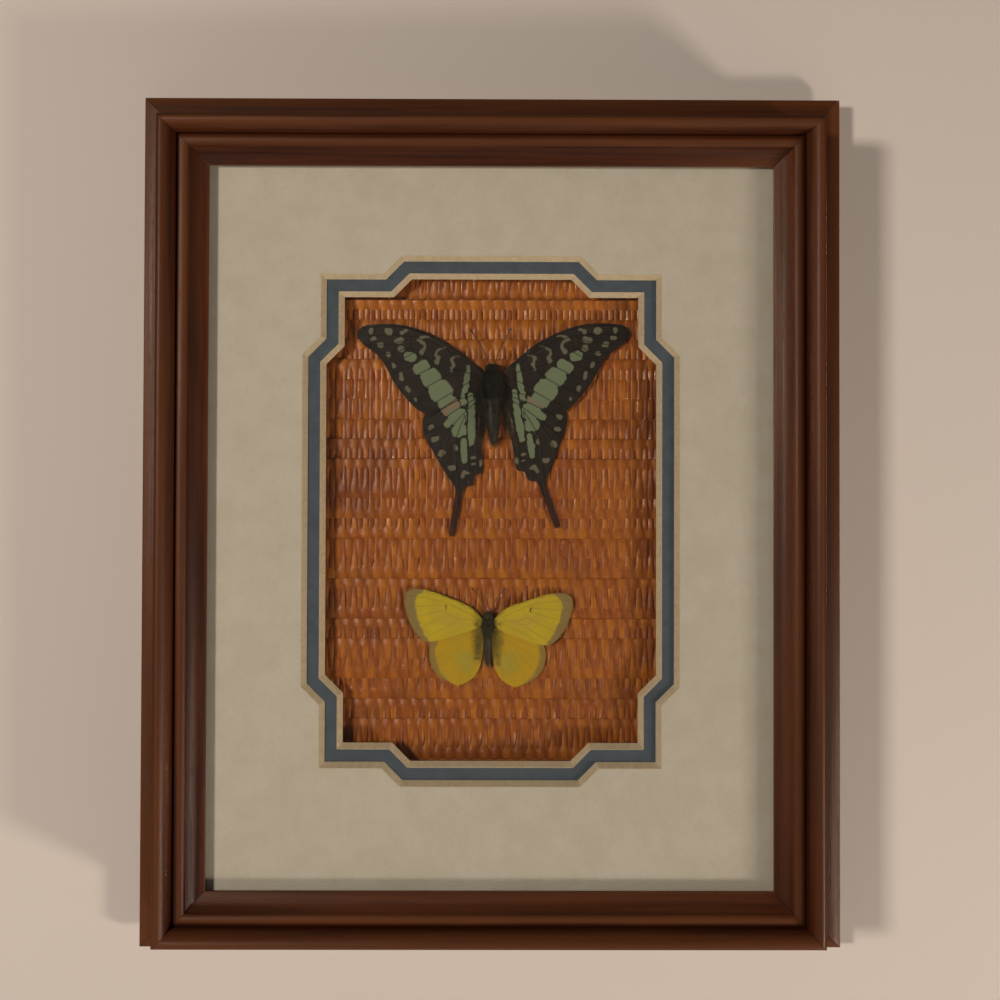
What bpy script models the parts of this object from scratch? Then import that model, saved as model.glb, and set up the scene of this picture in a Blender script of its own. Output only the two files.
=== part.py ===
"""A wall-hung shadow-box frame that holds two dried, spread butterflies.

Front faces -Y, +X is to the right and +Z is up. The origin is the middle notch
of the sawtooth hanger, the point that bears on the nail in the wall.
Every depth below is measured from the front crest of the moulding towards the wall.
"""
import math

import bmesh
import bpy
from mathutils import Vector

MM = 0.001

# Moulding: four mitred lengths of stained wood
FRAME_WIDTH = 208 * MM
FRAME_HEIGHT = 252.5 * MM
FRAME_TOP = 17 * MM
RAIL_DEPTH = 28 * MM
RAIL_BACK_Y = -1.15 * MM
RABBET_INSET = 19 * MM
SIGHT_INSET = 24 * MM
LIP_BACK = 8.6 * MM
FOOT_FRONT = 24.5 * MM
FOOT_CHAMFER = 0.5 * MM
WALL_INSET = 10.8 * MM
GROOVE_INSET = 15.7 * MM
GROOVE_DEPTH = 5.3 * MM
BAND_CREST_INSET = 12.6 * MM
BEAD_CREST_DEPTH = 3.9 * MM
BEAD_END_INSET = 19.4 * MM

# Thin assembly gap between neighbouring pieces
GAP = 0.3 * MM
MITRE_GAP = 0.15 * MM * math.sqrt(2)

# The stack that the rabbet holds, front to back
RABBET_CLEARANCE = 0.5 * MM
GLASS_THICKNESS = 2.0 * MM
MAT_THICKNESS = 1.4 * MM
SPACER_THICKNESS = 3.0 * MM
SPACER_WIDTH = 6.0 * MM
WEAVE_THICKNESS = 1.2 * MM
BACKING_THICKNESS = 2.5 * MM

# Window of the top mat at the foot of its bevel, from the middle of the frame
WINDOW_HALF_WIDTH = 52.4 * MM
WINDOW_TOP = 75.6 * MM
WINDOW_BOTTOM = -72.4 * MM
WINDOW_NOTCH = 5.2 * MM
WINDOW_CORNER = 17.0 * MM
MAT_REVEAL = 4.9 * MM

# Fixings on the back
POINT_WIDTH = 8.0 * MM
POINT_THICKNESS = 0.4 * MM
POINT_SHOWING = 6.0 * MM
POINT_BURIED = 5.0 * MM
COVER_INSET = 3.0 * MM
COVER_THICKNESS = 0.2 * MM
HANGER_LENGTH = 44 * MM
HANGER_HEIGHT = 6.9 * MM
HANGER_THICKNESS = 0.7 * MM
TOOTH_PITCH = 4.0 * MM
TOOTH_DEPTH = 1.6 * MM
TOOTH_NOTCHES = 7
NAIL_X = 18.5 * MM
NAIL_Z = 3.2 * MM
NAIL_RADIUS = 0.6 * MM
NAIL_HEAD_RADIUS = 1.5 * MM
NAIL_HEAD_THICKNESS = 0.55 * MM
NAIL_LENGTH = 9.0 * MM
BUMPER_RADIUS = 5.0 * MM
BUMPER_THICKNESS = 1.7 * MM
BUMPER_INSET = 12.0 * MM

# The two specimens: middle of the thorax from the middle of the frame, and the lean of the body
SWORDTAIL_X = 0.2 * MM
SWORDTAIL_Z = 40.0 * MM
SWORDTAIL_LEAN = math.radians(-1.5)
SULPHUR_X = -0.8 * MM
SULPHUR_Z = -29.3 * MM
SULPHUR_LEAN = math.radians(0.6)
WING_THICKNESS = 0.25 * MM

FRAME_CENTRE_Z = FRAME_TOP - FRAME_HEIGHT / 2
CREST_Y = RAIL_BACK_Y - RAIL_DEPTH
GLASS_FRONT = LIP_BACK + GAP
TOP_MAT_FRONT = GLASS_FRONT + GLASS_THICKNESS + GAP
UNDER_MAT_FRONT = TOP_MAT_FRONT + MAT_THICKNESS + GAP
SPACER_FRONT = UNDER_MAT_FRONT + MAT_THICKNESS + GAP
WEAVE_FRONT = SPACER_FRONT + SPACER_THICKNESS + GAP
BACKING_FRONT = WEAVE_FRONT + WEAVE_THICKNESS + GAP
POINT_FRONT = BACKING_FRONT + BACKING_THICKNESS + GAP
SHEET_WIDTH = FRAME_WIDTH - 2 * (RABBET_INSET + RABBET_CLEARANCE)
SHEET_HEIGHT = FRAME_HEIGHT - 2 * (RABBET_INSET + RABBET_CLEARANCE)
FRAME_CENTRE = Vector((0, 0, FRAME_CENTRE_Z))


def depth_y(depth):
    """The y of a place this far behind the front crest of the moulding."""
    return CREST_Y + depth


# ---------------------------------------------------------------- shared helpers

def clear_scene():
    for item in list(bpy.data.objects):
        bpy.data.objects.remove(item)


def material(name, colour, roughness, metallic=0.0, alpha=1.0):
    made = bpy.data.materials.new(name)
    made.use_nodes = True
    shader = made.node_tree.nodes["Principled BSDF"]
    shader.inputs["Base Color"].default_value = (*colour, 1.0)
    shader.inputs["Roughness"].default_value = roughness
    shader.inputs["Metallic"].default_value = metallic
    shader.inputs["Alpha"].default_value = alpha
    return made


def link(name, data, finish, parent=None):
    """Put mesh or curve data in the scene under a node name, with its finish."""
    item = bpy.data.objects.new(name, data)
    data.materials.append(finish)
    bpy.context.collection.objects.link(item)
    item.parent = parent
    return item


def mesh_from(bm, name, smooth_angle=None):
    """Turn a bmesh into mesh data with faces outward; round pieces get smooth shading."""
    bmesh.ops.recalc_face_normals(bm, faces=bm.faces)
    data = bpy.data.meshes.new(name)
    bm.to_mesh(data)
    bm.free()
    if smooth_angle is not None:
        data.shade_smooth()
        data.set_sharp_from_angle(angle=math.radians(smooth_angle))
    return data


def plate_bmesh(outline, front, back):
    """A flat plate: an (x, z) outline extruded along +Y from front to back."""
    bm = bmesh.new()
    face = bm.faces.new([bm.verts.new((x, front, z)) for x, z in outline])
    grown = bmesh.ops.extrude_face_region(bm, geom=[face])
    for item in grown["geom"]:
        if isinstance(item, bmesh.types.BMVert):
            item.co.y = back
    return bm


def tapered_bmesh(front_outline, back_outline, front, back):
    """A prism whose outline changes from front to back, point for point."""
    bm = bmesh.new()
    near = [bm.verts.new((x, front, z)) for x, z in front_outline]
    far = [bm.verts.new((x, back, z)) for x, z in back_outline]
    bm.faces.new(near)
    bm.faces.new(far)
    count = len(near)
    for i in range(count):
        j = (i + 1) % count
        bm.faces.new((near[i], near[j], far[j], far[i]))
    return bm


def turned_bmesh(profile, segments, axis):
    """Spin (radius, along) points about the Y or Z axis; the ends are closed at poles."""
    bm = bmesh.new()
    if axis == "Y":
        points = [bm.verts.new((radius, along, 0)) for radius, along in profile]
        direction = (0, 1, 0)
    else:
        points = [bm.verts.new((radius, 0, along)) for radius, along in profile]
        direction = (0, 0, 1)
    edges = [bm.edges.new(pair) for pair in zip(points, points[1:])]
    bmesh.ops.spin(
        bm, geom=points + edges, cent=(0, 0, 0), axis=direction,
        angle=math.tau, steps=segments, use_duplicate=False,
    )
    bmesh.ops.remove_doubles(bm, verts=bm.verts, dist=1e-7)
    return bm


def rectangle(width, height, centre_x=0.0, centre_z=0.0):
    return [
        (centre_x + sx * width / 2, centre_z + sz * height / 2)
        for sx, sz in ((-1, -1), (1, -1), (1, 1), (-1, 1))
    ]


def grown_outline(outline, distance):
    """Move every edge of a counter-clockwise outline outward and join them again at mitres."""
    grown = []
    count = len(outline)
    for i in range(count):
        before = Vector(outline[i]) - Vector(outline[i - 1])
        after = Vector(outline[(i + 1) % count]) - Vector(outline[i])
        out_before = Vector((before.y, -before.x)).normalized()
        out_after = Vector((after.y, -after.x)).normalized()
        mitre = (out_before + out_after).normalized()
        reach = distance / mitre.dot(out_after)
        grown.append(tuple(Vector(outline[i]) + mitre * reach))
    return grown


def smooth_outline(points, steps):
    """A closed smooth curve through the points, with this many steps between two of them."""
    count = len(points)
    ring = [Vector(point) for point in points]
    curve = []
    for i in range(count):
        a, b, c, d = (ring[(i + k) % count] for k in (-1, 0, 1, 2))
        for step in range(steps):
            t = step / steps
            curve.append(tuple(0.5 * (
                2 * b + (c - a) * t + (2 * a - 5 * b + 4 * c - d) * t * t
                + (3 * b - a - 3 * c + d) * t ** 3
            )))
    return curve


def cutter(name, bm, parent=None):
    """A shape that only cuts others: hidden in renders and drawn as wire."""
    data = mesh_from(bm, name)
    item = bpy.data.objects.new(name, data)
    bpy.context.collection.objects.link(item)
    item.parent = parent
    item.hide_render = True
    item.display_type = "WIRE"
    return item


def cut(item, tool):
    step = item.modifiers.new("cut_" + tool.name, "BOOLEAN")
    step.operation = "DIFFERENCE"
    step.solver = "EXACT"
    step.object = tool


# ---------------------------------------------------------------- moulding

def arc(centre, radii, start, end, steps):
    """Points on an ellipse; 0 degrees points inward along the inset and 90 towards the wall."""
    points = []
    for step in range(steps + 1):
        angle = math.radians(start + (end - start) * step / steps)
        points.append((centre[0] + radii[0] * math.cos(angle), centre[1] + radii[1] * math.sin(angle)))
    return points


def moulding_profile():
    """(inset, depth) outline of the moulding: wide foot, cove, round band, groove, bead, scoop and lip."""
    cove = 7.0 * MM
    band_shoulder = 3.2 * MM
    profile = [
        (FOOT_CHAMFER, RAIL_DEPTH),
        (0, RAIL_DEPTH - FOOT_CHAMFER),
        (0, FOOT_FRONT + FOOT_CHAMFER),
        (FOOT_CHAMFER, FOOT_FRONT),
    ]
    cove_centre = (WALL_INSET - 0.2 * MM - cove, FOOT_FRONT - 0.4 * MM - cove)
    profile += arc(cove_centre, (cove, cove), 90, 0, 7)
    band_width = BAND_CREST_INSET - WALL_INSET
    profile += arc((BAND_CREST_INSET, band_shoulder), (band_width, band_shoulder), 180, 270, 5)
    fall = GROOVE_INSET - BAND_CREST_INSET
    profile += arc((BAND_CREST_INSET, GROOVE_DEPTH), (fall, GROOVE_DEPTH), 270, 360, 6)[1:]
    bead_half = (BEAD_END_INSET - GROOVE_INSET) / 2
    bead_rise = GROOVE_DEPTH - BEAD_CREST_DEPTH
    profile += arc((GROOVE_INSET + bead_half, GROOVE_DEPTH), (bead_half, bead_rise), 180, 360, 8)[1:]
    profile += [
        (20.6 * MM, 6.8 * MM),
        (22.0 * MM, 7.5 * MM),
        (SIGHT_INSET - 0.3 * MM, 7.9 * MM),
        (SIGHT_INSET, 8.1 * MM),
        (SIGHT_INSET, LIP_BACK),
        (RABBET_INSET, LIP_BACK),
        (RABBET_INSET, RAIL_DEPTH),
    ]
    return profile


def add_rail(name, length, reach, turn, finish):
    """One mitred length. It is modelled as the top rail and turned about the middle of the frame."""
    bm = bmesh.new()
    end = [
        bm.verts.new((-(length / 2 - inset - MITRE_GAP), depth_y(depth), reach - inset))
        for inset, depth in moulding_profile()
    ]
    face = bm.faces.new(end)
    grown = bmesh.ops.extrude_face_region(bm, geom=[face])
    for item in grown["geom"]:
        if isinstance(item, bmesh.types.BMVert):
            item.co.x = -item.co.x
    rail = link(name, mesh_from(bm, name, smooth_angle=30), finish)
    rail.location = FRAME_CENTRE
    rail.rotation_euler = (0, turn, 0)
    return rail


def add_moulding(finish):
    """The four lengths, by the turn that brings each to its side."""
    half_width = FRAME_WIDTH / 2
    half_height = FRAME_HEIGHT / 2
    return {
        "top": add_rail("rail_top", FRAME_WIDTH, half_height, 0, finish),
        "right": add_rail("stile_right", FRAME_HEIGHT, half_width, math.pi / 2, finish),
        "bottom": add_rail("rail_bottom", FRAME_WIDTH, half_height, math.pi, finish),
        "left": add_rail("stile_left", FRAME_HEIGHT, half_width, -math.pi / 2, finish),
    }


# ---------------------------------------------------------------- glazing and mats

def notched_window(inset):
    """Counter-clockwise window outline with square notched corners and sloped shoulders.

    The inset makes the same window smaller all round.
    """
    corner = WINDOW_CORNER
    notch = WINDOW_NOTCH
    outline = []
    quarters = ((1, -1), (1, 1), (-1, 1), (-1, -1))
    for sx, sz in quarters:
        side = sx * WINDOW_HALF_WIDTH
        end = WINDOW_TOP if sz > 0 else WINDOW_BOTTOM
        corner_x = side - sx * notch
        corner_z = end - sz * notch
        points = [
            (side, corner_z - sz * (corner + notch)),
            (corner_x, corner_z - sz * corner),
            (corner_x, corner_z),
            (corner_x - sx * corner, corner_z),
            (corner_x - sx * (corner + notch), end),
        ]
        outline += points if sx == sz else points[::-1]
    return grown_outline(outline, -inset)


def add_sheet(name, front, thickness, finish):
    """A plain rectangular sheet that fills the rabbet."""
    bm = plate_bmesh(rectangle(SHEET_WIDTH, SHEET_HEIGHT), depth_y(front), depth_y(front + thickness))
    sheet = link(name, mesh_from(bm, name), finish)
    sheet.location = FRAME_CENTRE
    return sheet


def add_mat(name, front, inset, finish):
    """A mat board with a 45 degree bevel round its notched window."""
    mat = add_sheet(name, front, MAT_THICKNESS, finish)
    foot = notched_window(inset)
    margin = GAP
    tool = cutter("cut_" + name, tapered_bmesh(
        grown_outline(foot, MAT_THICKNESS + margin), grown_outline(foot, -margin),
        depth_y(front - margin), depth_y(front + MAT_THICKNESS + margin),
    ))
    tool.location = FRAME_CENTRE
    cut(mat, tool)
    return mat


def add_spacers(finish):
    """Four strips of foam board that hold the mats off the woven panel."""
    side_x = (SHEET_WIDTH - SPACER_WIDTH) / 2
    end_z = (SHEET_HEIGHT - SPACER_WIDTH) / 2
    side_length = SHEET_HEIGHT - 2 * SPACER_WIDTH - 2 * GAP
    strips = {
        "spacer_top": rectangle(SHEET_WIDTH, SPACER_WIDTH, 0, end_z),
        "spacer_bottom": rectangle(SHEET_WIDTH, SPACER_WIDTH, 0, -end_z),
        "spacer_left": rectangle(SPACER_WIDTH, side_length, -side_x, 0),
        "spacer_right": rectangle(SPACER_WIDTH, side_length, side_x, 0),
    }
    for name, outline in strips.items():
        bm = plate_bmesh(outline, depth_y(SPACER_FRONT), depth_y(SPACER_FRONT + SPACER_THICKNESS))
        strip = link(name, mesh_from(bm, name), finish)
        strip.location = FRAME_CENTRE


# ---------------------------------------------------------------- fixings on the back

def point_outline():
    """A framer's point as seen from the back, with its tip in the wood; z = 0 is the rabbet wall."""
    half = POINT_WIDTH / 2
    return [
        (-half, -POINT_SHOWING), (half, -POINT_SHOWING), (half, POINT_BURIED * 0.3),
        (0, POINT_BURIED), (-half, POINT_BURIED * 0.3),
    ]


def add_points(rails, finish):
    """Two framer's points on each side, each in a slit in the wood."""
    half_width = FRAME_WIDTH / 2
    half_height = FRAME_HEIGHT / 2
    sides = {
        "top": (0, half_height, half_width * 0.45),
        "right": (math.pi / 2, half_width, half_height * 0.45),
        "bottom": (math.pi, half_height, half_width * 0.45),
        "left": (-math.pi / 2, half_width, half_height * 0.45),
    }
    front = depth_y(POINT_FRONT)
    back = front + POINT_THICKNESS
    for side, (turn, reach, spread) in sides.items():
        for order, sign in enumerate((-1, 1), start=1):
            shift = Vector((sign * spread, 0, reach - RABBET_INSET))
            placed = [(x + shift.x, z + shift.z) for x, z in point_outline()]
            name = f"point_{side}_{order}"
            plate = plate_bmesh(placed, front, back)
            point = link(name, mesh_from(plate, name), finish)
            slit = cutter("slit_" + name, plate_bmesh(grown_outline(placed, GAP), front - GAP, back + GAP))
            for item in (point, slit):
                item.location = FRAME_CENTRE
                item.rotation_euler = (0, turn, 0)
            cut(rails[side], slit)


def hanger_outline():
    """Sawtooth hanger from the back: a strip whose lower edge is cut into teeth."""
    half = HANGER_LENGTH / 2
    teeth_half = TOOTH_NOTCHES * TOOTH_PITCH / 2
    outline = [(-half, 1.0 * MM), (-teeth_half, -TOOTH_DEPTH)]
    for notch in range(TOOTH_NOTCHES):
        middle = -teeth_half + (notch + 0.5) * TOOTH_PITCH
        outline += [(middle, 0), (middle + TOOTH_PITCH / 2, -TOOTH_DEPTH)]
    outline += [
        (half, 1.0 * MM), (half, HANGER_HEIGHT - 1.0 * MM),
        (teeth_half, HANGER_HEIGHT), (-teeth_half, HANGER_HEIGHT), (-half, HANGER_HEIGHT - 1.0 * MM),
    ]
    return outline


def nail_hole(name):
    """A round cutter wider than a nail, at the height of the hanger's nails."""
    reach = NAIL_LENGTH + GAP
    bm = turned_bmesh(
        [(0, -reach), (NAIL_RADIUS + GAP, -reach), (NAIL_RADIUS + GAP, 2 * MM), (0, 2 * MM)], 12, "Y",
    )
    return cutter(name, bm)


def add_back(rails, finishes):
    """Paper cover, sawtooth hanger, its two nails and two wall bumpers."""
    cover_front = RAIL_BACK_Y + GAP
    cover_outline = rectangle(FRAME_WIDTH - 2 * COVER_INSET, FRAME_HEIGHT - 2 * COVER_INSET, 0, FRAME_CENTRE_Z)
    cover_bm = plate_bmesh(cover_outline, cover_front, cover_front + COVER_THICKNESS)
    cover = link("dust_cover", mesh_from(cover_bm, "dust_cover"), finishes["kraft"])

    half = HANGER_THICKNESS / 2
    hanger_bm = plate_bmesh(hanger_outline(), -half, half)
    hanger = link("sawtooth_hanger", mesh_from(hanger_bm, "sawtooth_hanger"), finishes["brassed"])

    head_y = half + GAP
    nail_profile = [
        (0, -NAIL_LENGTH),
        (NAIL_RADIUS, -NAIL_LENGTH + 1.5 * MM),
        (NAIL_RADIUS, head_y),
        (NAIL_HEAD_RADIUS, head_y),
        (NAIL_HEAD_RADIUS * 0.85, head_y + NAIL_HEAD_THICKNESS),
        (0, head_y + NAIL_HEAD_THICKNESS),
    ]
    bumper_front = cover_front + COVER_THICKNESS + GAP
    bumper_back = bumper_front + BUMPER_THICKNESS
    bumper_profile = [
        (0, bumper_front),
        (BUMPER_RADIUS, bumper_front),
        (BUMPER_RADIUS * 0.8, bumper_back),
        (0, bumper_back),
    ]
    bumper_x = FRAME_WIDTH / 2 - BUMPER_INSET
    bumper_z = FRAME_TOP - FRAME_HEIGHT + BUMPER_INSET
    for side, sign in (("left", -1), ("right", 1)):
        hole = nail_hole("hole_" + side)
        hole.location = (sign * NAIL_X, 0, NAIL_Z)
        for item in (hanger, cover, rails["top"]):
            cut(item, hole)
        nail_name = "hanger_nail_" + side
        nail = link(nail_name, mesh_from(turned_bmesh(nail_profile, 12, "Y"), nail_name, 30), finishes["steel"])
        nail.location = hole.location
        name = "wall_bumper_" + side
        bumper = link(name, mesh_from(turned_bmesh(bumper_profile, 24, "Y"), name, 30), finishes["rubber"])
        bumper.location = (sign * bumper_x, 0, bumper_z)


# ---------------------------------------------------------------- specimens

# Wing outlines of the right-hand side in millimetres: (out from the body, towards the head)
SWORDTAIL_FOREWING = [
    (4.2, 2.6), (7.3, 5.6), (14.8, 11.7), (26.1, 16.5), (36.8, 16.9), (40.0, 14.6),
    (38.3, 11.4), (33.2, 6.8), (28.2, -2.1), (20.6, -9.2), (11.0, -4.6), (4.0, -0.6),
]
SWORDTAIL_HINDWING = [
    (3.6, -1.6), (12.0, -4.0), (20.4, -8.4), (21.4, -14.8), (18.7, -20.9), (15.6, -27.0),
    (13.2, -31.4), (14.5, -38.2), (15.7, -43.8), (14.9, -44.9), (13.9, -44.2), (12.2, -37.4),
    (10.7, -31.4), (8.2, -30.3), (7.2, -27.7), (5.0, -26.3), (4.7, -19.0), (3.4, -12.4),
    (2.9, -6.4),
]
SULPHUR_FOREWING = [
    (1.9, 1.7), (5.3, 5.1), (11.5, 7.9), (17.8, 10.0), (22.6, 10.1), (24.0, 7.0),
    (22.6, 0.6), (19.4, -4.0), (16.2, -4.9), (6.7, -2.5), (2.0, -0.4),
]
SULPHUR_HINDWING = [
    (2.0, -1.4), (9.0, -2.6), (15.8, -4.6), (17.2, -9.5), (15.2, -14.4), (10.6, -17.2),
    (8.0, -17.6), (4.0, -15.0), (1.9, -9.7),
]
# Body outlines: (radius, towards the head), tail end first
SWORDTAIL_BODY = [
    (0, -16.8), (0.7, -16.3), (1.5, -12.6), (1.8, -8.4), (1.6, -5.0), (2.2, -3.4), (2.6, 0.0),
    (2.4, 3.0), (1.3, 4.4), (1.4, 5.2), (1.1, 6.1), (0, 6.5),
]
SULPHUR_BODY = [
    (0, -11.6), (0.5, -11.0), (0.8, -8.0), (0.9, -4.6), (0.8, -2.8), (1.2, -1.6), (1.4, 0.0),
    (1.2, 1.8), (0.7, 2.6), (0.9, 3.2), (0.6, 3.9), (0, 4.1),
]
# Feelers: (out, towards the head) from the head to the club
SWORDTAIL_FEELER = [(0.9, 6.9), (2.3, 10.2), (4.2, 13.8), (6.0, 16.6)]
SULPHUR_FEELER = [(0.6, 4.5), (1.8, 6.9), (3.4, 9.2), (4.9, 10.9)]
# How each wing was set: (turned clockwise in degrees, moved right, moved up in millimetres)
SWORDTAIL_POISES = {
    "forewing_left": (-0.2, 1.2, 1.8), "forewing_right": (3.1, -0.5, 2.2),
    "hindwing_left": (-1.8, 0.8, 2.1), "hindwing_right": (-5.7, -1.2, 1.7),
}
SULPHUR_POISES = {
    "forewing_left": (-1.3, 0.0, 0.4), "forewing_right": (3.3, 0.0, 0.4),
    "hindwing_left": (-1.8, 0.0, 0.5), "hindwing_right": (2.4, 0.0, 0.3),
}


def add_wing(name, outline, side, level, poise, parent, finish):
    """One wing as a thin flat blade, turned and moved a little as it was set."""
    turn, right, up = math.radians(poise[0]), poise[1], poise[2]
    placed = []
    for out, along in smooth_outline(outline, 3):
        x = side * out * math.cos(turn) + along * math.sin(turn) + right
        z = along * math.cos(turn) - side * out * math.sin(turn) + up
        placed.append((x * MM, z * MM))
    bm = plate_bmesh(placed, level, level + WING_THICKNESS)
    return link(name, mesh_from(bm, name), finish, parent)


def add_body(name, profile, flatness, axis_y, parent, finish):
    """Head, thorax and abdomen in one turned shape, flattened a little from the front."""
    bm = turned_bmesh([(radius * MM, along * MM) for radius, along in profile], 16, "Z")
    for vert in bm.verts:
        vert.co.y = vert.co.y * flatness + axis_y
    return link(name, mesh_from(bm, name, 60), finish, parent)


def add_feeler(name, points, side, radius, axis_y, parent, finish):
    """One clubbed feeler as a round tube along a smooth curve."""
    data = bpy.data.curves.new(name, "CURVE")
    data.dimensions = "3D"
    data.bevel_depth = radius
    data.bevel_resolution = 2
    data.use_fill_caps = True
    data.resolution_u = 4
    data.render_resolution_u = 4
    spline = data.splines.new("BEZIER")
    spline.bezier_points.add(len(points) - 1)
    for order, (knot, (out, along)) in enumerate(zip(spline.bezier_points, points)):
        knot.co = (side * out * MM, axis_y, along * MM)
        knot.handle_left_type = "AUTO"
        knot.handle_right_type = "AUTO"
        knot.radius = 2.4 if order == len(points) - 1 else 1.0
    return link(name, data, finish, parent)


def add_specimen(name, centre, lean, shapes, poises, feeler_radius, finishes):
    """A spread butterfly: body, four wings and two feelers on one empty."""
    holder = bpy.data.objects.new(name, None)
    bpy.context.collection.objects.link(holder)
    holder.location = centre
    holder.rotation_euler = (0, lean, 0)
    hind_level = -GAP - WING_THICKNESS
    fore_level = hind_level - GAP - WING_THICKNESS
    axis_y = -shapes["rise"]
    add_body(name + "_body", shapes["body"], shapes["flatness"], axis_y, holder, finishes["body"])
    for side_name, side in (("left", -1), ("right", 1)):
        add_wing(f"{name}_forewing_{side_name}", shapes["forewing"], side, fore_level,
                 poises["forewing_" + side_name], holder, finishes["forewing"])
        add_wing(f"{name}_hindwing_{side_name}", shapes["hindwing"], side, hind_level,
                 poises["hindwing_" + side_name], holder, finishes["hindwing"])
        add_feeler(f"{name}_feeler_{side_name}", shapes["feeler"], side, feeler_radius, axis_y,
                   holder, finishes["feeler"])


def main():
    clear_scene()
    wood = material("mahogany_stained_wood", (0.085, 0.028, 0.014), 0.38)
    rails = add_moulding(wood)
    add_sheet("glass", GLASS_FRONT, GLASS_THICKNESS, material("clear_glass", (0.95, 0.97, 0.96), 0.03, alpha=0.25))
    add_mat("top_mat", TOP_MAT_FRONT, 0, material("cream_mat_board", (0.55, 0.50, 0.38), 0.85))
    add_mat("under_mat", UNDER_MAT_FRONT, MAT_REVEAL, material("slate_blue_mat_board", (0.07, 0.085, 0.10), 0.85))
    add_spacers(material("white_foam_board", (0.75, 0.74, 0.70), 0.8))
    add_sheet("woven_panel", WEAVE_FRONT, WEAVE_THICKNESS, material("woven_bark_fibre", (0.25, 0.09, 0.02), 0.4))
    add_sheet("backing_board", BACKING_FRONT, BACKING_THICKNESS, material("brown_hardboard", (0.16, 0.09, 0.05), 0.8))
    add_points(rails, material("zinc_plated_steel", (0.5, 0.5, 0.5), 0.35, 1.0))
    add_back(rails, {
        "kraft": material("kraft_paper", (0.42, 0.28, 0.16), 0.85),
        "brassed": material("brass_plated_steel", (0.60, 0.42, 0.16), 0.35, 1.0),
        "steel": material("bright_steel", (0.55, 0.55, 0.55), 0.3, 1.0),
        "rubber": material("dark_rubber", (0.03, 0.03, 0.03), 0.7),
    })
    weave_y = depth_y(WEAVE_FRONT)
    swordtail = {
        "body": SWORDTAIL_BODY, "forewing": SWORDTAIL_FOREWING, "hindwing": SWORDTAIL_HINDWING,
        "feeler": SWORDTAIL_FEELER, "flatness": 0.85, "rise": 2.6 * MM,
    }
    dark_wing = material("black_brown_wing", (0.018, 0.012, 0.007), 0.6)
    dark_body = material("dark_hairy_body", (0.02, 0.018, 0.010), 0.8)
    swordtail_centre = Vector((SWORDTAIL_X, weave_y, FRAME_CENTRE_Z + SWORDTAIL_Z))
    add_specimen("swordtail", swordtail_centre, SWORDTAIL_LEAN, swordtail,
                 SWORDTAIL_POISES, 0.13 * MM,
                 {"body": dark_body, "forewing": dark_wing, "hindwing": dark_wing, "feeler": dark_body})
    sulphur = {
        "body": SULPHUR_BODY, "forewing": SULPHUR_FOREWING, "hindwing": SULPHUR_HINDWING,
        "feeler": SULPHUR_FEELER, "flatness": 0.9, "rise": 1.7 * MM,
    }
    yellow_wing = material("yellow_wing", (0.33, 0.25, 0.03), 0.6)
    sulphur_centre = Vector((SULPHUR_X, weave_y, FRAME_CENTRE_Z + SULPHUR_Z))
    add_specimen("sulphur", sulphur_centre, SULPHUR_LEAN, sulphur,
                 SULPHUR_POISES, 0.10 * MM,
                 {"body": dark_body, "forewing": yellow_wing, "hindwing": yellow_wing, "feeler": dark_body})


main()
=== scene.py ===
"""Looks for a wall-hung shadow-box frame that holds two dried, spread butterflies.

Front faces -Y, +X is to the right and +Z is up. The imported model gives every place;
lengths in the classes are real sizes, written as millimetres times MM.
"""
from __future__ import annotations

import logging
import math
from collections.abc import Mapping, Sequence
from dataclasses import dataclass
from enum import Enum
from typing import Any

import bmesh
import bpy
import numpy as np
from mathutils import Matrix, Vector, noise
from mathutils.geometry import delaunay_2d_cdt

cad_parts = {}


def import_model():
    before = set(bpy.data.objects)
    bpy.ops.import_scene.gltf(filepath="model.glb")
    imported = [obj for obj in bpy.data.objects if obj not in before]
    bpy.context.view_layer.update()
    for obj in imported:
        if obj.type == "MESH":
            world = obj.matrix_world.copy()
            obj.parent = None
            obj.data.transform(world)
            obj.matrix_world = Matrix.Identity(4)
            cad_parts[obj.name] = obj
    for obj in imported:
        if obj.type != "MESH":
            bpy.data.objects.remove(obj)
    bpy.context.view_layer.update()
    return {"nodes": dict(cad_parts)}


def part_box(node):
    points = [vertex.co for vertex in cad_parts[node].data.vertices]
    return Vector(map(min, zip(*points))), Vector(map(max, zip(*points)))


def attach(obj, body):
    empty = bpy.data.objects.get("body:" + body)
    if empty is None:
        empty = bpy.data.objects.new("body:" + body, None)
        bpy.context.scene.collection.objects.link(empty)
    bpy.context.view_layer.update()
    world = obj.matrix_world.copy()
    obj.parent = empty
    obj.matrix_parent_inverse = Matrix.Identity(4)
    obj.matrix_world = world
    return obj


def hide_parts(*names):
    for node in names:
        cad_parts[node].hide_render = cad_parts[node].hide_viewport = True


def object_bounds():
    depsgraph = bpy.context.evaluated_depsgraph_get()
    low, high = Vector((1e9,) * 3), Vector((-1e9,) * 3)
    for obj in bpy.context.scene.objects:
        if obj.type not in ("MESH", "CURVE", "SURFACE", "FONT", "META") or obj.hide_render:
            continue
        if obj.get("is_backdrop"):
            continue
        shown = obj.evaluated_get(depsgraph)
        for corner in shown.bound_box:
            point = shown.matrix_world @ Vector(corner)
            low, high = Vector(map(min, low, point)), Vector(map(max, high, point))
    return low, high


LOG = logging.getLogger("butterfly_frame")
MM = 0.001
BODY = "root"

Point2 = tuple[float, float]
Colour = tuple[float, float, float, float]


# ---------------------------------------------------------------- shared helpers

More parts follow.
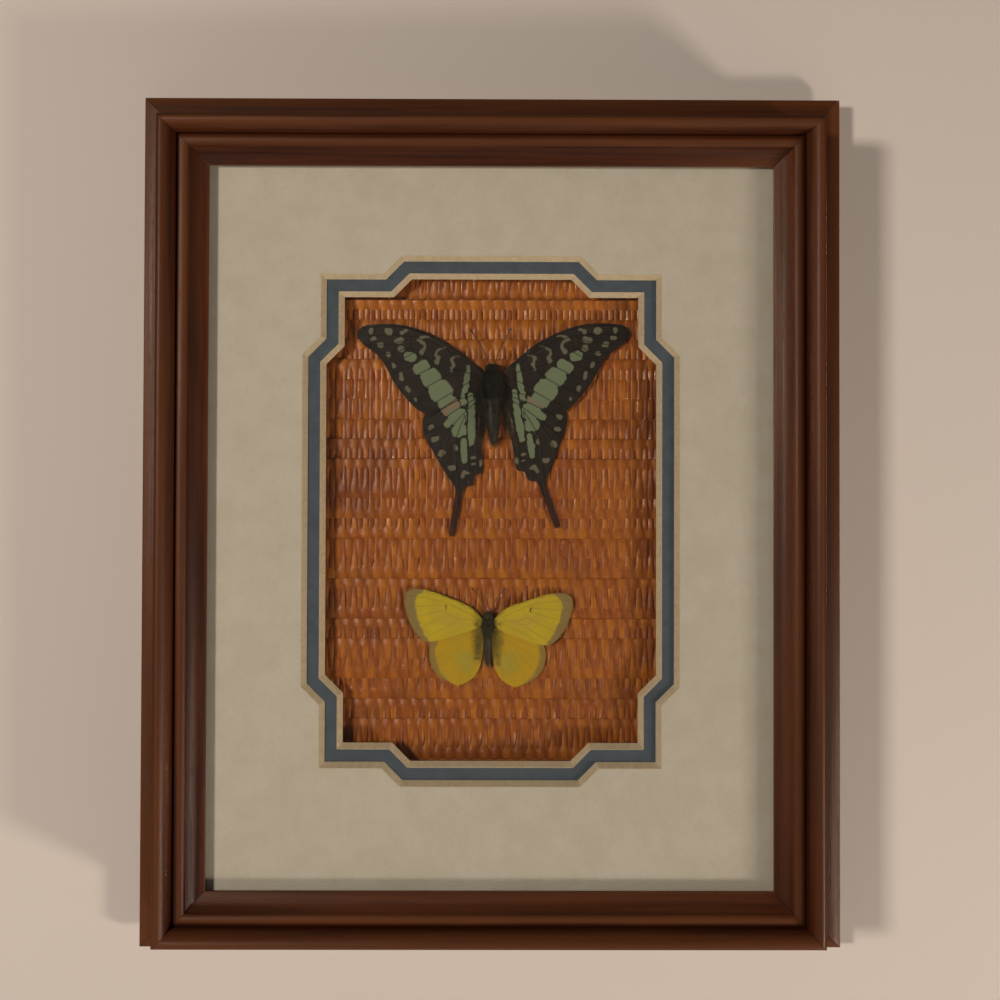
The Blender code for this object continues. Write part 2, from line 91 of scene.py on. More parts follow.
def linear(hex_colour: str) -> Colour:
    """Turn an sRGB hex value into a linear colour.

    Args:
        hex_colour: Six hex digits, with or without a leading hash.

    Returns:
        Linear red, green, blue and an alpha of one.
    """
    digits = hex_colour.lstrip("#")
    channels = [int(digits[i:i + 2], 16) / 255 for i in (0, 2, 4)]
    red, green, blue = (
        c / 12.92 if c <= 0.04045 else ((c + 0.055) / 1.055) ** 2.4 for c in channels
    )
    return (red, green, blue, 1.0)


def add_node(tree: bpy.types.NodeTree, kind: str, inputs: Mapping[int | str, Any] | None = None,
             **settings: Any) -> bpy.types.Node:
    """Add one node, set it up and wire it.

    Args:
        tree: The tree that gets the node.
        kind: The node's type name.
        inputs: For each input, by name or number, the socket or the value that feeds it.
        settings: The node's own properties.

    Returns:
        The new node.
    """
    node = tree.nodes.new(kind)
    for name, value in settings.items():
        setattr(node, name, value)
    for key, value in (inputs or {}).items():
        if isinstance(value, bpy.types.NodeSocket):
            tree.links.new(value, node.inputs[key])
        else:
            node.inputs[key].default_value = value
    return node


def work_out(tree: bpy.types.NodeTree, known: dict[str, bpy.types.NodeSocket],
             *steps: tuple[str | float, ...]) -> None:
    """Chain arithmetic nodes, each of which may use the results of those before it.

    Args:
        tree: The tree that gets the nodes.
        known: The values by name; every step adds its result.
        steps: For each node, its result's name, its operation and its operands.
    """
    for name, operation, *operands in steps:
        inputs = {i: known.get(operand, operand) for i, operand in enumerate(operands)}
        known[name] = add_node(tree, "ShaderNodeMath", inputs, operation=operation).outputs[0]


def mesh_from(bm: bmesh.types.BMesh, name: str, sharp_degrees: float = 30.0) -> bpy.types.Mesh:
    """Turn a bmesh into smooth-shaded mesh data whose faces point outward.

    Args:
        bm: The shape, which is freed.
        name: The mesh's name.
        sharp_degrees: Edges that bend more than this stay sharp.

    Returns:
        The mesh data.
    """
    bmesh.ops.recalc_face_normals(bm, faces=bm.faces)
    data = bpy.data.meshes.new(name)
    bm.to_mesh(data)
    bm.free()
    data.shade_smooth()
    data.set_sharp_from_angle(angle=math.radians(sharp_degrees))
    return data


def stand(name: str, data: bpy.types.Mesh, materials: Sequence[bpy.types.Material]) -> bpy.types.Object:
    """Put finished mesh data in the scene as one object at the origin."""
    piece = bpy.data.objects.new(name, data)
    while data.materials:
        data.materials.pop()
    for material in materials:
        data.materials.append(material)
    bpy.context.scene.collection.objects.link(piece)
    return piece


def hand_in(piece: bpy.types.Object, slot: str, *nodes: str) -> bpy.types.Object:
    """Fix a finished piece to the frame's body and say which solids it stands for.

    Args:
        piece: The finished object.
        slot: The piece's material slot name; not used.
        nodes: The solids that it replaces.

    Returns:
        The same object.
    """
    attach(piece, BODY)
    if nodes:
        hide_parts(*nodes)
    LOG.info("%s: %d faces, stands for %s", piece.name, len(piece.data.polygons), nodes or "no solid")
    return piece


def store(data: bpy.types.Mesh, name: str, values: np.ndarray) -> None:
    """Keep one number, or one vector, for each vertex of a mesh.

    Args:
        data: The mesh.
        name: The attribute's name.
        values: One row for each vertex.
    """
    kind, key = ("FLOAT_VECTOR", "vector") if values.ndim == 2 else ("FLOAT", "value")
    attribute = data.attributes.new(name, kind, "POINT")
    attribute.data.foreach_set(key, values.astype(np.float32).ravel())


def grown_outline(outline: Sequence[Point2], distance: float) -> list[Point2]:
    """Move every edge of a counter-clockwise outline outward and join them again at mitres.

    Args:
        outline: The corners.
        distance: How far outward; a negative distance makes the outline smaller.

    Returns:
        The moved corners.
    """
    grown = []
    count = len(outline)
    for i in range(count):
        before = Vector(outline[i]) - Vector(outline[i - 1])
        after = Vector(outline[(i + 1) % count]) - Vector(outline[i])
        out_before = Vector((before.y, -before.x)).normalized()
        out_after = Vector((after.y, -after.x)).normalized()
        mitre = (out_before + out_after).normalized()
        grown.append(tuple(Vector(outline[i]) + mitre * (distance / mitre.dot(out_after))))
    return grown


def smooth_curve(points: Sequence[Point2], steps: int, closed: bool) -> list[Point2]:
    """Points along a smooth curve that passes through the given ones.

    Args:
        points: The points to pass through.
        steps: Steps between two of them.
        closed: Whether the curve comes back to its start.

    Returns:
        The curve's points.
    """
    count = len(points)
    spans = count if closed else count - 1
    curve = []
    for i in range(spans):
        numbers = (i - 1, i, i + 1, i + 2)
        if closed:
            ring = [Vector(points[n % count]) for n in numbers]
        else:
            ring = [Vector(points[min(max(n, 0), count - 1)]) for n in numbers]
        a, b, c, d = ring
        for step in range(steps):
            t = step / steps
            curve.append(tuple(0.5 * (
                2 * b + (c - a) * t + (2 * a - 5 * b + 4 * c - d) * t * t
                + (3 * b - a - 3 * c + d) * t ** 3
            )))
    if not closed:
        curve.append(tuple(points[-1]))
    return curve


def turned(profile: Sequence[Point2], sides: int) -> bmesh.types.BMesh:
    """A closed shape turned about the Y axis, from (radius, y) points that start and end on the axis.

    Args:
        profile: The points from one pole to the other.
        sides: Sides round the axis.

    Returns:
        The shape.
    """
    bm = bmesh.new()
    poles = [bm.verts.new((0, profile[end][1], 0)) for end in (0, -1)]
    turns = [k * math.tau / sides for k in range(sides)]
    rings = [
        [bm.verts.new((radius * math.cos(turn), y, radius * math.sin(turn))) for turn in turns]
        for radius, y in profile[1:-1]
    ]
    for k in range(sides):
        j = (k + 1) % sides
        bm.faces.new((poles[0], rings[0][k], rings[0][j]))
        bm.faces.new((poles[1], rings[-1][j], rings[-1][k]))
        for near, far in zip(rings, rings[1:]):
            bm.faces.new((near[k], far[k], far[j], near[j]))
    return bm


def bevelled_plate(outline: Sequence[Point2], front: float, back: float, bevel: float,
                   segments: int = 2) -> bmesh.types.BMesh:
    """A plate with eased edges.

    Args:
        outline: Its (x, z) corners.
        front: The y of its front face.
        back: The y of its back face.
        bevel: The width of the easing.
        segments: Steps in the easing.

    Returns:
        The plate.
    """
    bm = bmesh.new()
    face = bm.faces.new([bm.verts.new((x, front, z)) for x, z in outline])
    grown = bmesh.ops.extrude_face_region(bm, geom=[face])
    for item in grown["geom"]:
        if isinstance(item, bmesh.types.BMVert):
            item.co.y = back
    bmesh.ops.bevel(bm, geom=list(bm.edges), offset=bevel, segments=segments, profile=0.5,
                    affect="EDGES", clamp_overlap=True)
    return bm


def tube(path: Sequence[Vector], radii: Sequence[float], sides: int) -> bmesh.types.BMesh:
    """A round tube along a path that stays in a plane of constant y, closed at both ends.

    Args:
        path: The points along its middle.
        radii: Its radius at each point.
        sides: Sides round the path.

    Returns:
        The tube.
    """
    bm = bmesh.new()
    rings = []
    for i, (point, radius) in enumerate(zip(path, radii)):
        ahead = path[min(i + 1, len(path) - 1)] - path[max(i - 1, 0)]
        out = Vector((0, 1, 0))
        across = ahead.cross(out).normalized()
        rings.append([
            bm.verts.new(point + radius * (
                across * math.cos(k * math.tau / sides) + out * math.sin(k * math.tau / sides)
            ))
            for k in range(sides)
        ])
    for near, far in zip(rings, rings[1:]):
        for k in range(sides):
            j = (k + 1) % sides
            bm.faces.new((near[k], near[j], far[j], far[k]))
    bm.faces.new(rings[0])
    bm.faces.new(rings[-1])
    return bm


def node_inputs(tree: bpy.types.NodeTree, sockets: Mapping[str, str]) -> bpy.types.Node:
    """Give a geometry tree its named inputs and its geometry output.

    Args:
        tree: An empty geometry tree.
        sockets: Each input's name and socket type.

    Returns:
        The group input node.
    """
    for name, kind in sockets.items():
        tree.interface.new_socket(name=name, in_out="INPUT", socket_type=kind)
    tree.interface.new_socket(name="Geometry", in_out="OUTPUT", socket_type="NodeSocketGeometry")
    return tree.nodes.new("NodeGroupInput")


def grow(name: str, base: bpy.types.Mesh, tree: bpy.types.NodeTree,
         values: Mapping[str, Any]) -> bpy.types.Mesh:
    """Run a geometry tree once and keep its result as a plain mesh.

    Args:
        name: The mesh's name.
        base: The mesh that the tree starts from.
        tree: The tree.
        values: What each named input is set to.

    Returns:
        The resulting mesh, with no modifier on it.
    """
    carrier = bpy.data.objects.new(name + "_carrier", base)
    bpy.context.scene.collection.objects.link(carrier)
    modifier = carrier.modifiers.new("grow", "NODES")
    modifier.node_group = tree
    for socket in tree.interface.items_tree:
        if socket.in_out == "INPUT" and socket.name in values:
            modifier[socket.identifier] = values[socket.name]
    depsgraph = bpy.context.evaluated_depsgraph_get()
    made = bpy.data.meshes.new_from_object(carrier.evaluated_get(depsgraph), depsgraph=depsgraph)
    made.name = name
    carrier.modifiers.clear()
    bpy.data.objects.remove(carrier)
    return made


@dataclass(frozen=True)
class Layout:
    """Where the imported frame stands: its middle, its half sizes and its front crest."""

    centre_x: float
    centre_z: float
    half_width: float
    half_height: float
    crest_y: float

    @classmethod
    def from_frame(cls) -> Layout:
        """Read the four rails' boxes."""
        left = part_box("stile_left")[0].x
        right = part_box("stile_right")[1].x
        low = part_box("rail_bottom")[0].z
        high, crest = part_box("rail_top")[1].z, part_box("rail_top")[0].y
        return cls((left + right) / 2, (low + high) / 2, (right - left) / 2, (high - low) / 2, crest)

    def place(self, x: float, depth: float, z: float) -> Vector:
        """A point from the middle of the frame, this far behind the front crest."""
        return Vector((self.centre_x + x, self.crest_y + depth, self.centre_z + z))


# ---------------------------------------------------------------- finishes

@dataclass(frozen=True)
class Finish:
    """What every finish has: the material's name, its slot in the record and its roughness."""

    name: str
    slot: str
    roughness: float

    def begin(self) -> tuple[bpy.types.Material, bpy.types.NodeTree, bpy.types.Node]:
        """Start the material.

        Returns:
            The material, its tree and its surface shader.
        """
        material = bpy.data.materials.new(self.name)
        material.use_nodes = True
        shader = material.node_tree.nodes["Principled BSDF"]
        shader.inputs["Roughness"].default_value = self.roughness
        return material, material.node_tree, shader

    def layered(self, tree: bpy.types.NodeTree, ground: bpy.types.NodeSocket | Colour,
                coats: Sequence[tuple[bpy.types.NodeSocket, str]]) -> bpy.types.NodeSocket:
        """Lay colours over one another.

        Args:
            tree: The material's tree.
            ground: The colour underneath.
            coats: From the lowest, how much each coat covers and its colour.

        Returns:
            The resulting colour.
        """
        for share, colour in coats:
            ground = add_node(tree, "ShaderNodeMix", {0: share, 6: ground, 7: linear(colour)},
                              data_type="RGBA").outputs[2]
        return ground


@dataclass(frozen=True)
class StainedWood(Finish):
    """Machined moulding, mahogany-stained by wiping, and lacquered satin.

    The eye gets long streaks that follow each length, the quirks darker with painted
    shade over deeper staining, the crests paler with a painted highlight over worn wood,
    open pores as short dashes and a soft broad sheen.
    """

    dark: str = "2E130A"
    mid: str = "522812"
    light: str = "7C4A2A"
    # quirk darkens the quirks as painted shade over deeper staining, and also colours the pore dashes; crest
    # lightens the crests as a painted highlight over worn wood.
    quirk: str = "45200F"
    crest: str = "84522F"
    streak: Point2 = (70 * MM, 1.5 * MM)
    board: Point2 = (180 * MM, 9 * MM)
    pore: Point2 = (3.5 * MM, 0.33 * MM)

    def build(self) -> bpy.types.Material:
        """Make the material."""
        material, tree, shader = self.begin()
        grain = add_node(tree, "ShaderNodeAttribute", attribute_name="grain").outputs["Vector"]
        wear_and_light = add_node(tree, "ShaderNodeAttribute", attribute_name="wear_and_light").outputs["Fac"]
        tones = []
        for length, width, low, high in (
            (*self.streak, 0.36, 0.64), (*self.board, 0.4, 0.66), (*self.pore, 0.56, 0.7),
        ):
            stretched = add_node(tree, "ShaderNodeMapping", {
                "Vector": grain, "Scale": (1 / length, 1 / width, 1 / MM),
            }).outputs[0]
            figure = add_node(tree, "ShaderNodeTexNoise", {
                "Vector": stretched, "Scale": 1.0, "Detail": 4.0, "Roughness": 0.6, "Distortion": 0.15,
            }).outputs[0]
            tones.append(add_node(tree, "ShaderNodeMapRange", {
                0: figure, 1: low, 2: high, 3: 0.0, 4: 1.0,
            }).outputs[0])
        known = dict(zip(("streak", "board", "pore"), tones))
        work_out(
            tree, known, ("pale", "MULTIPLY", "board", 0.55), ("dash", "MULTIPLY", "pore", 0.5),
            ("height", "SUBTRACT", "streak", "pore"),
        )
        # Painted highlight on the crests over worn wood, and painted shade in the quirks over deeper
        # staining, both read from the exposure along the profile.
        crest_highlight_and_rubbing = add_node(tree, "ShaderNodeMapRange", {0: wear_and_light, 1: 0.55, 2: 1.0, 3: 0.0, 4: 0.5}).outputs[0]
        quirk_shade_and_staining = add_node(tree, "ShaderNodeMapRange", {0: wear_and_light, 1: 0.45, 2: 0.0, 3: 0.0, 4: 0.6}).outputs[0]
        coats = (
            (known["streak"], self.mid), (known["pale"], self.light), (crest_highlight_and_rubbing, self.crest),
            (quirk_shade_and_staining, self.quirk), (known["dash"], self.quirk),
        )
        tree.links.new(self.layered(tree, linear(self.dark), coats), shader.inputs["Base Color"])
        shader.inputs["Specular IOR Level"].default_value = 0.3
        sheen = add_node(tree, "ShaderNodeMapRange", {
            0: known["streak"], 1: 0.0, 2: 1.0, 3: self.roughness + 0.08, 4: self.roughness - 0.05,
        }).outputs[0]
        tree.links.new(sheen, shader.inputs["Roughness"])
        bump = add_node(tree, "ShaderNodeBump", {
            "Strength": 0.35, "Distance": 0.06 * MM, "Height": known["height"],
        })
        tree.links.new(bump.outputs[0], shader.inputs["Normal"])
        return material


@dataclass(frozen=True)
class ClearGlass(Finish):
    """Drawn soda-lime picture glass: a faint green body and the slightest smear on the face."""

    tint: str = "F6FAF7"

    def build(self) -> bpy.types.Material:
        """Make the material."""
        material, tree, shader = self.begin()
        shader.inputs["Base Color"].default_value = linear(self.tint)
        shader.inputs["Transmission Weight"].default_value = 1.0
        shader.inputs["IOR"].default_value = 1.5
        place = add_node(tree, "ShaderNodeTexCoord").outputs["Object"]
        smear = add_node(tree, "ShaderNodeTexNoise", {
            "Vector": place, "Scale": 28.0, "Detail": 3.0,
        }).outputs[0]
        haze = add_node(tree, "ShaderNodeMapRange", {
            0: smear, 1: 0.5, 2: 0.8, 3: self.roughness, 4: self.roughness + 0.02,
        }).outputs[0]
        tree.links.new(haze, shader.inputs["Roughness"])
        return material


@dataclass(frozen=True)
class SheetStock(Finish):
    """Paper, board, felt or fibre stock: a matt face with clouds, flecks and a fine tooth.

    The eye gets faint clouds a few millimetres wide, scattered fibres, and a tooth that
    is drawn a little coarser than the real one so that it shows.
    """

    base: str = "E4DFD3"
    cloud: str = "DDD7C8"
    fleck: str = "BDB198"
    cloud_size: float = 7 * MM
    fleck_size: Point2 = (0.8 * MM, 0.45 * MM)
    fleck_share: float = 0.25
    tooth: float = 0.25 * MM
    tooth_height: float = 0.05 * MM

    def build(self) -> bpy.types.Material:
        """Make the material."""
        material, tree, shader = self.begin()
        place = add_node(tree, "ShaderNodeTexCoord").outputs["Object"]
        clouds = add_node(tree, "ShaderNodeTexNoise", {
            "Vector": place, "Scale": 1 / self.cloud_size, "Detail": 3.0, "Roughness": 0.6,
        }).outputs[0]
        soft = add_node(tree, "ShaderNodeMapRange", {0: clouds, 1: 0.35, 2: 0.65, 3: 0.0, 4: 1.0}).outputs[0]
        along, across = self.fleck_size
        laid = add_node(tree, "ShaderNodeMapping", {
            "Vector": place, "Scale": (1 / along, 1 / across, 1 / across), "Rotation": (0.3, 0.5, 0.2),
        }).outputs[0]
        fibres = add_node(tree, "ShaderNodeTexNoise", {
            "Vector": laid, "Scale": 1.0, "Detail": 2.0, "Roughness": 0.7,
        }).outputs[0]
        flecks = add_node(tree, "ShaderNodeMapRange", {
            0: fibres, 1: 0.52, 2: 0.72, 3: 0.0, 4: self.fleck_share,
        }).outputs[0]
        paper = self.layered(tree, linear(self.base), ((soft, self.cloud), (flecks, self.fleck)))
        tree.links.new(paper, shader.inputs["Base Color"])
        grit = add_node(tree, "ShaderNodeTexNoise", {
            "Vector": place, "Scale": 1 / self.tooth, "Detail": 2.0, "Roughness": 0.6,
        }).outputs[0]
        bump = add_node(tree, "ShaderNodeBump", {
            "Strength": 0.6, "Distance": self.tooth_height, "Height": grit,
        })
        tree.links.new(bump.outputs[0], shader.inputs["Normal"])
        return material


@dataclass(frozen=True)
class PlatedSteel(Finish):
    """Stamped or drawn steel with a thin bright plating.

    The eye gets a metal that is dulled in soft patches, with fine rolling marks along X.
    """

    plating: str = "B8B4AC"
    dull: str = "8C887F"
    patch: float = 3 * MM
    rolling: Point2 = (8 * MM, 0.15 * MM)

    def build(self) -> bpy.types.Material:
        """Make the material."""
        material, tree, shader = self.begin()
        shader.inputs["Metallic"].default_value = 1.0
        place = add_node(tree, "ShaderNodeTexCoord").outputs["Object"]
        patches = add_node(tree, "ShaderNodeTexNoise", {
            "Vector": place, "Scale": 1 / self.patch, "Detail": 4.0, "Roughness": 0.65,
        }).outputs[0]
        worn = add_node(tree, "ShaderNodeMapRange", {0: patches, 1: 0.42, 2: 0.68, 3: 0.0, 4: 1.0}).outputs[0]
        metal = self.layered(tree, linear(self.plating), ((worn, self.dull),))
        tree.links.new(metal, shader.inputs["Base Color"])
        rough = add_node(tree, "ShaderNodeMapRange", {
            0: worn, 1: 0.0, 2: 1.0, 3: self.roughness, 4: self.roughness + 0.22,
        }).outputs[0]
        tree.links.new(rough, shader.inputs["Roughness"])
        along, across = self.rolling
        drawn = add_node(tree, "ShaderNodeMapping", {
            "Vector": place, "Scale": (1 / along, 1 / across, 1 / across),
        }).outputs[0]
        marks = add_node(tree, "ShaderNodeTexNoise", {
            "Vector": drawn, "Scale": 1.0, "Detail": 2.0,
        }).outputs[0]
        bump = add_node(tree, "ShaderNodeBump", {"Strength": 0.3, "Distance": 0.02 * MM, "Height": marks})
        tree.links.new(bump.outputs[0], shader.inputs["Normal"])
        return material


@dataclass(frozen=True)
class PlantFibre(Finish):
    """Split rush strands, stained red-brown, woven wet and dried to a waxy gloss.

    The eye gets a different tone on every strand, fine fibre lines along it, painted shade
    where strands dive under, dark stained blotches that gather with painted shade towards the
    panel's left and right edges, and bright glints where a float turns over.
    """

    # dark is the painted shade where strands dive under.
    dark: str = "7A3608"
    mid: str = "954706"
    light: str = "C87812"
    # The colour of the dark blotches: stained patches, and painted shade of the mats near the panel's left
    # and right edges.
    stain_and_edge_shade: str = "5C220A"
    fibre: Point2 = (6 * MM, 0.22 * MM)
    edge_shade_from: float = 40 * MM
    across_x: bool = True

    def build(self) -> bpy.types.Material:
        """Make the material."""
        material, tree, shader = self.begin()
        place = add_node(tree, "ShaderNodeTexCoord").outputs["Object"]
        strand = add_node(tree, "ShaderNodeAttribute", attribute_name="strand").outputs["Fac"]
        cell = add_node(tree, "ShaderNodeAttribute", attribute_name="float").outputs["Fac"]
        strand = add_node(tree, "ShaderNodeMix", {0: 0.6, 2: strand, 3: cell}).outputs[0]
        hump = add_node(tree, "ShaderNodeAttribute", attribute_name="hump").outputs["Fac"]
        along, across = self.fibre
        scale = (1 / across, 1 / across, 1 / along) if self.across_x else (1 / along, 1 / across, 1 / across)
        laid = add_node(tree, "ShaderNodeMapping", {"Vector": place, "Scale": scale}).outputs[0]
        lines = add_node(tree, "ShaderNodeTexNoise", {
            "Vector": laid, "Scale": 1.0, "Detail": 3.0, "Roughness": 0.7,
        }).outputs[0]
        line = add_node(tree, "ShaderNodeMapRange", {0: lines, 1: 0.35, 2: 0.65, 3: -0.22, 4: 0.22})
        tone = add_node(tree, "ShaderNodeMath", {0: strand, 1: line.outputs[0]},
                        operation="ADD", use_clamp=True).outputs[0]
        # Painted shade where a strand dives under its neighbour.
        dip = add_node(tree, "ShaderNodeMapRange", {0: hump, 1: 0.6, 2: -0.6, 3: 0.0, 4: 0.4}).outputs[0]
        patches = add_node(tree, "ShaderNodeTexNoise", {
            "Vector": place, "Scale": 1 / (26 * MM), "Detail": 3.0, "Roughness": 0.6,
        }).outputs[0]
        known = {"x": add_node(tree, "ShaderNodeSeparateXYZ", {0: place}).outputs["X"], "patches": patches}
        work_out(tree, known, ("aside", "ABSOLUTE", "x"))
        # Darker towards the left and right edges: painted shade of the mats along the window's sides, with
        # some deeper staining.
        known["edge_shade_and_staining"] = add_node(tree, "ShaderNodeMapRange", {
            0: known["aside"], 1: self.edge_shade_from, 2: self.edge_shade_from + 10 * MM, 3: 0.0, 4: 0.14,
        }).outputs[0]
        work_out(tree, known, ("blotches_and_edge_shade", "ADD", "patches", "edge_shade_and_staining"))
        blotches_and_edge_shade = add_node(tree, "ShaderNodeMapRange", {
            0: known["blotches_and_edge_shade"], 1: 0.54, 2: 0.76, 3: 0.0, 4: 0.7,
        }).outputs[0]
        coats = ((tone, self.light), (dip, self.dark), (blotches_and_edge_shade, self.stain_and_edge_shade))
        fibre = self.layered(tree, linear(self.mid), coats)
        tree.links.new(fibre, shader.inputs["Base Color"])
        gloss = add_node(tree, "ShaderNodeMapRange", {
            0: lines, 1: 0.3, 2: 0.7, 3: self.roughness - 0.08, 4: self.roughness + 0.14,
        }).outputs[0]
        tree.links.new(gloss, shader.inputs["Roughness"])
        bump = add_node(tree, "ShaderNodeBump", {"Strength": 0.5, "Distance": 0.08 * MM, "Height": lines})
        tree.links.new(bump.outputs[0], shader.inputs["Normal"])
        return material


# ---------------------------------------------------------------- moulding and glazing

class Side(Enum):
    """The four sides of the frame: the solid's name and the turn that brings the top length there."""

    TOP = ("rail_top", 0.0)
    RIGHT = ("stile_right", math.pi / 2)
    BOTTOM = ("rail_bottom", math.pi)
    LEFT = ("stile_left", -math.pi / 2)


@dataclass
class Moulding:
    """Four mitred lengths: wide foot, cove, round band, quirk, bead, scoop and lip."""

    layout: Layout
    finish: StainedWood
    depth: float = 28 * MM
    foot_front: float = 24.5 * MM
    chamfer: float = 0.5 * MM
    cove: float = 7 * MM
    wall_inset: float = 10.8 * MM
    band_crest: float = 12.6 * MM
    band_shoulder: float = 3.2 * MM
    quirk_inset: float = 15.7 * MM
    quirk_depth: float = 5.3 * MM
    bead_crest: float = 3.9 * MM
    bead_end: float = 19.4 * MM
    sight: float = 24 * MM
    lip_back: float = 8.6 * MM
    rabbet: float = 19 * MM
    joint: float = 0.05 * MM
    stations: int = 120
    unevenness: float = 0.06 * MM

    def profile(self) -> list[tuple[float, float, float]]:
        """The cross-section.

        Returns:
            Inset from the outer edge, depth behind the crest, and exposure: 0 in a quirk, 1 on a crest; it
            sets the painted shade in the quirks and the painted highlight on the crests.
        """
        points = [
            (self.chamfer, self.depth, 0.5), (0.0, self.depth - self.chamfer, 0.6),
            (0.0, self.foot_front + self.chamfer, 0.8),
            (self.chamfer * 0.3, self.foot_front + 0.15 * MM, 1.0), (self.chamfer, self.foot_front, 0.9),
        ]
        cove_x = self.wall_inset - 0.2 * MM - self.cove
        cove_y = self.foot_front - 0.4 * MM - self.cove
        band_out = self.band_crest - self.wall_inset
        band_in = self.quirk_inset - self.band_crest
        bead = (self.bead_end - self.quirk_inset) / 2
        bead_rise = self.quirk_depth - self.bead_crest
        arcs = (
            (cove_x, cove_y, self.cove, self.cove, 90, 0, 14, 0.6, 0.5),
            (self.band_crest, self.band_shoulder, band_out, self.band_shoulder, 180, 270, 10, 0.6, 0.85),
            (self.band_crest, self.quirk_depth, band_in, self.quirk_depth, 270, 360, 12, 0.85, 0.0),
            (self.quirk_inset + bead, self.quirk_depth, bead, bead_rise, 180, 270, 7, 0.0, 0.9),
            (self.quirk_inset + bead, self.quirk_depth, bead, bead_rise, 270, 360, 7, 0.9, 0.35),
        )
        for centre, level, reach, rise, start, end, steps, wear_and_light_in, wear_and_light_out in arcs:
            for step in range(steps + 1):
                share = step / steps
                angle = math.radians(start + (end - start) * share)
                wear_and_light = wear_and_light_in + (wear_and_light_out - wear_and_light_in) * share ** 2
                points.append((centre + reach * math.cos(angle), level + rise * math.sin(angle), wear_and_light))
        points += [
            (20.6 * MM, 6.8 * MM, 0.4), (22.0 * MM, 7.5 * MM, 0.45), (self.sight - 0.3 * MM, 7.9 * MM, 0.6),
            (self.sight, 8.1 * MM, 0.8), (self.sight, self.lip_back, 0.5), (self.rabbet, self.lip_back, 0.3),
            (self.rabbet, self.depth, 0.3),
        ]
        kept = [points[0]]
        for point in points[1:]:
            if math.dist(point[:2], kept[-1][:2]) > 0.01 * MM:
                kept.append(point)
        return kept

    def rail(self, side: Side, order: int) -> bpy.types.Object:
        """Sweep one length and turn it to its side.

        Args:
            side: Which side it is for.
            order: Its number, which gives it its own grain.

        Returns:
            The finished length.
        """
        node, turn = side.value
        upright = side in (Side.LEFT, Side.RIGHT)
        length = self.layout.half_height if upright else self.layout.half_width
        reach = self.layout.half_width if upright else self.layout.half_height
        profile = self.profile()
        spin = Matrix.Rotation(turn, 3, "Y")
        bm = bmesh.new()
        rings, grain, wear_and_light = [], [], []
        for station in range(self.stations + 1):
            share = 2 * station / self.stations - 1
            ring = []
            across = 0.0
            before = profile[0]
            for inset, depth, rub_and_light in profile:
                across += math.dist((inset, depth), before[:2])
                before = (inset, depth)
                along = share * (length - inset - self.joint)
                wave = noise.noise(Vector((along * 22, across * 240, order * 7.3)))
                on_face = 0 < inset < self.sight and depth < self.foot_front
                lift = self.unevenness * wave if on_face else 0.0
                local = Vector((along, depth + lift, reach - inset))
                ring.append(bm.verts.new(self.layout.place(0, 0, 0) + spin @ local))
                grain.append((along, across, order * 31 * MM))
                wear_and_light.append(rub_and_light)
            rings.append(ring)
        count = len(profile)
        for near, far in zip(rings, rings[1:]):
            for j in range(count):
                k = (j + 1) % count
                bm.faces.new((near[j], near[k], far[k], far[j]))
        bm.faces.new(rings[0])
        bm.faces.new(rings[-1])
        data = mesh_from(bm, node, 28)
        store(data, "grain", np.array(grain))
        # Exposure along the profile, read by the finish as painted shade in the quirks and a painted
        # highlight on the crests.
        store(data, "wear_and_light", np.array(wear_and_light))
        name = node.replace("rail", "moulding").replace("stile", "moulding")
        return hand_in(stand(name, data, [self.finish.build()]), self.finish.slot, node)

    def build(self) -> None:
        """Build all four lengths."""
        for order, side in enumerate(Side):
            self.rail(side, order)


@dataclass
class Glazing:
    """The picture glass, a sheet with its cut edges just eased."""

    finish: ClearGlass
    node: str = "glass"
    eased: float = 0.2 * MM

    def build(self) -> None:
        """Build the pane; it throws no shadow, and lets scattered light pass unbent."""
        low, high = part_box(self.node)
        outline = [(low.x, low.z), (high.x, low.z), (high.x, high.z), (low.x, high.z)]
        data = mesh_from(bevelled_plate(outline, low.y, high.y, self.eased, 1), self.node, 20)
        pane = stand("glass_pane", data, [self.finish.build()])
        pane.visible_shadow = False
        pane.visible_diffuse = False
        hand_in(pane, self.finish.slot, self.node)


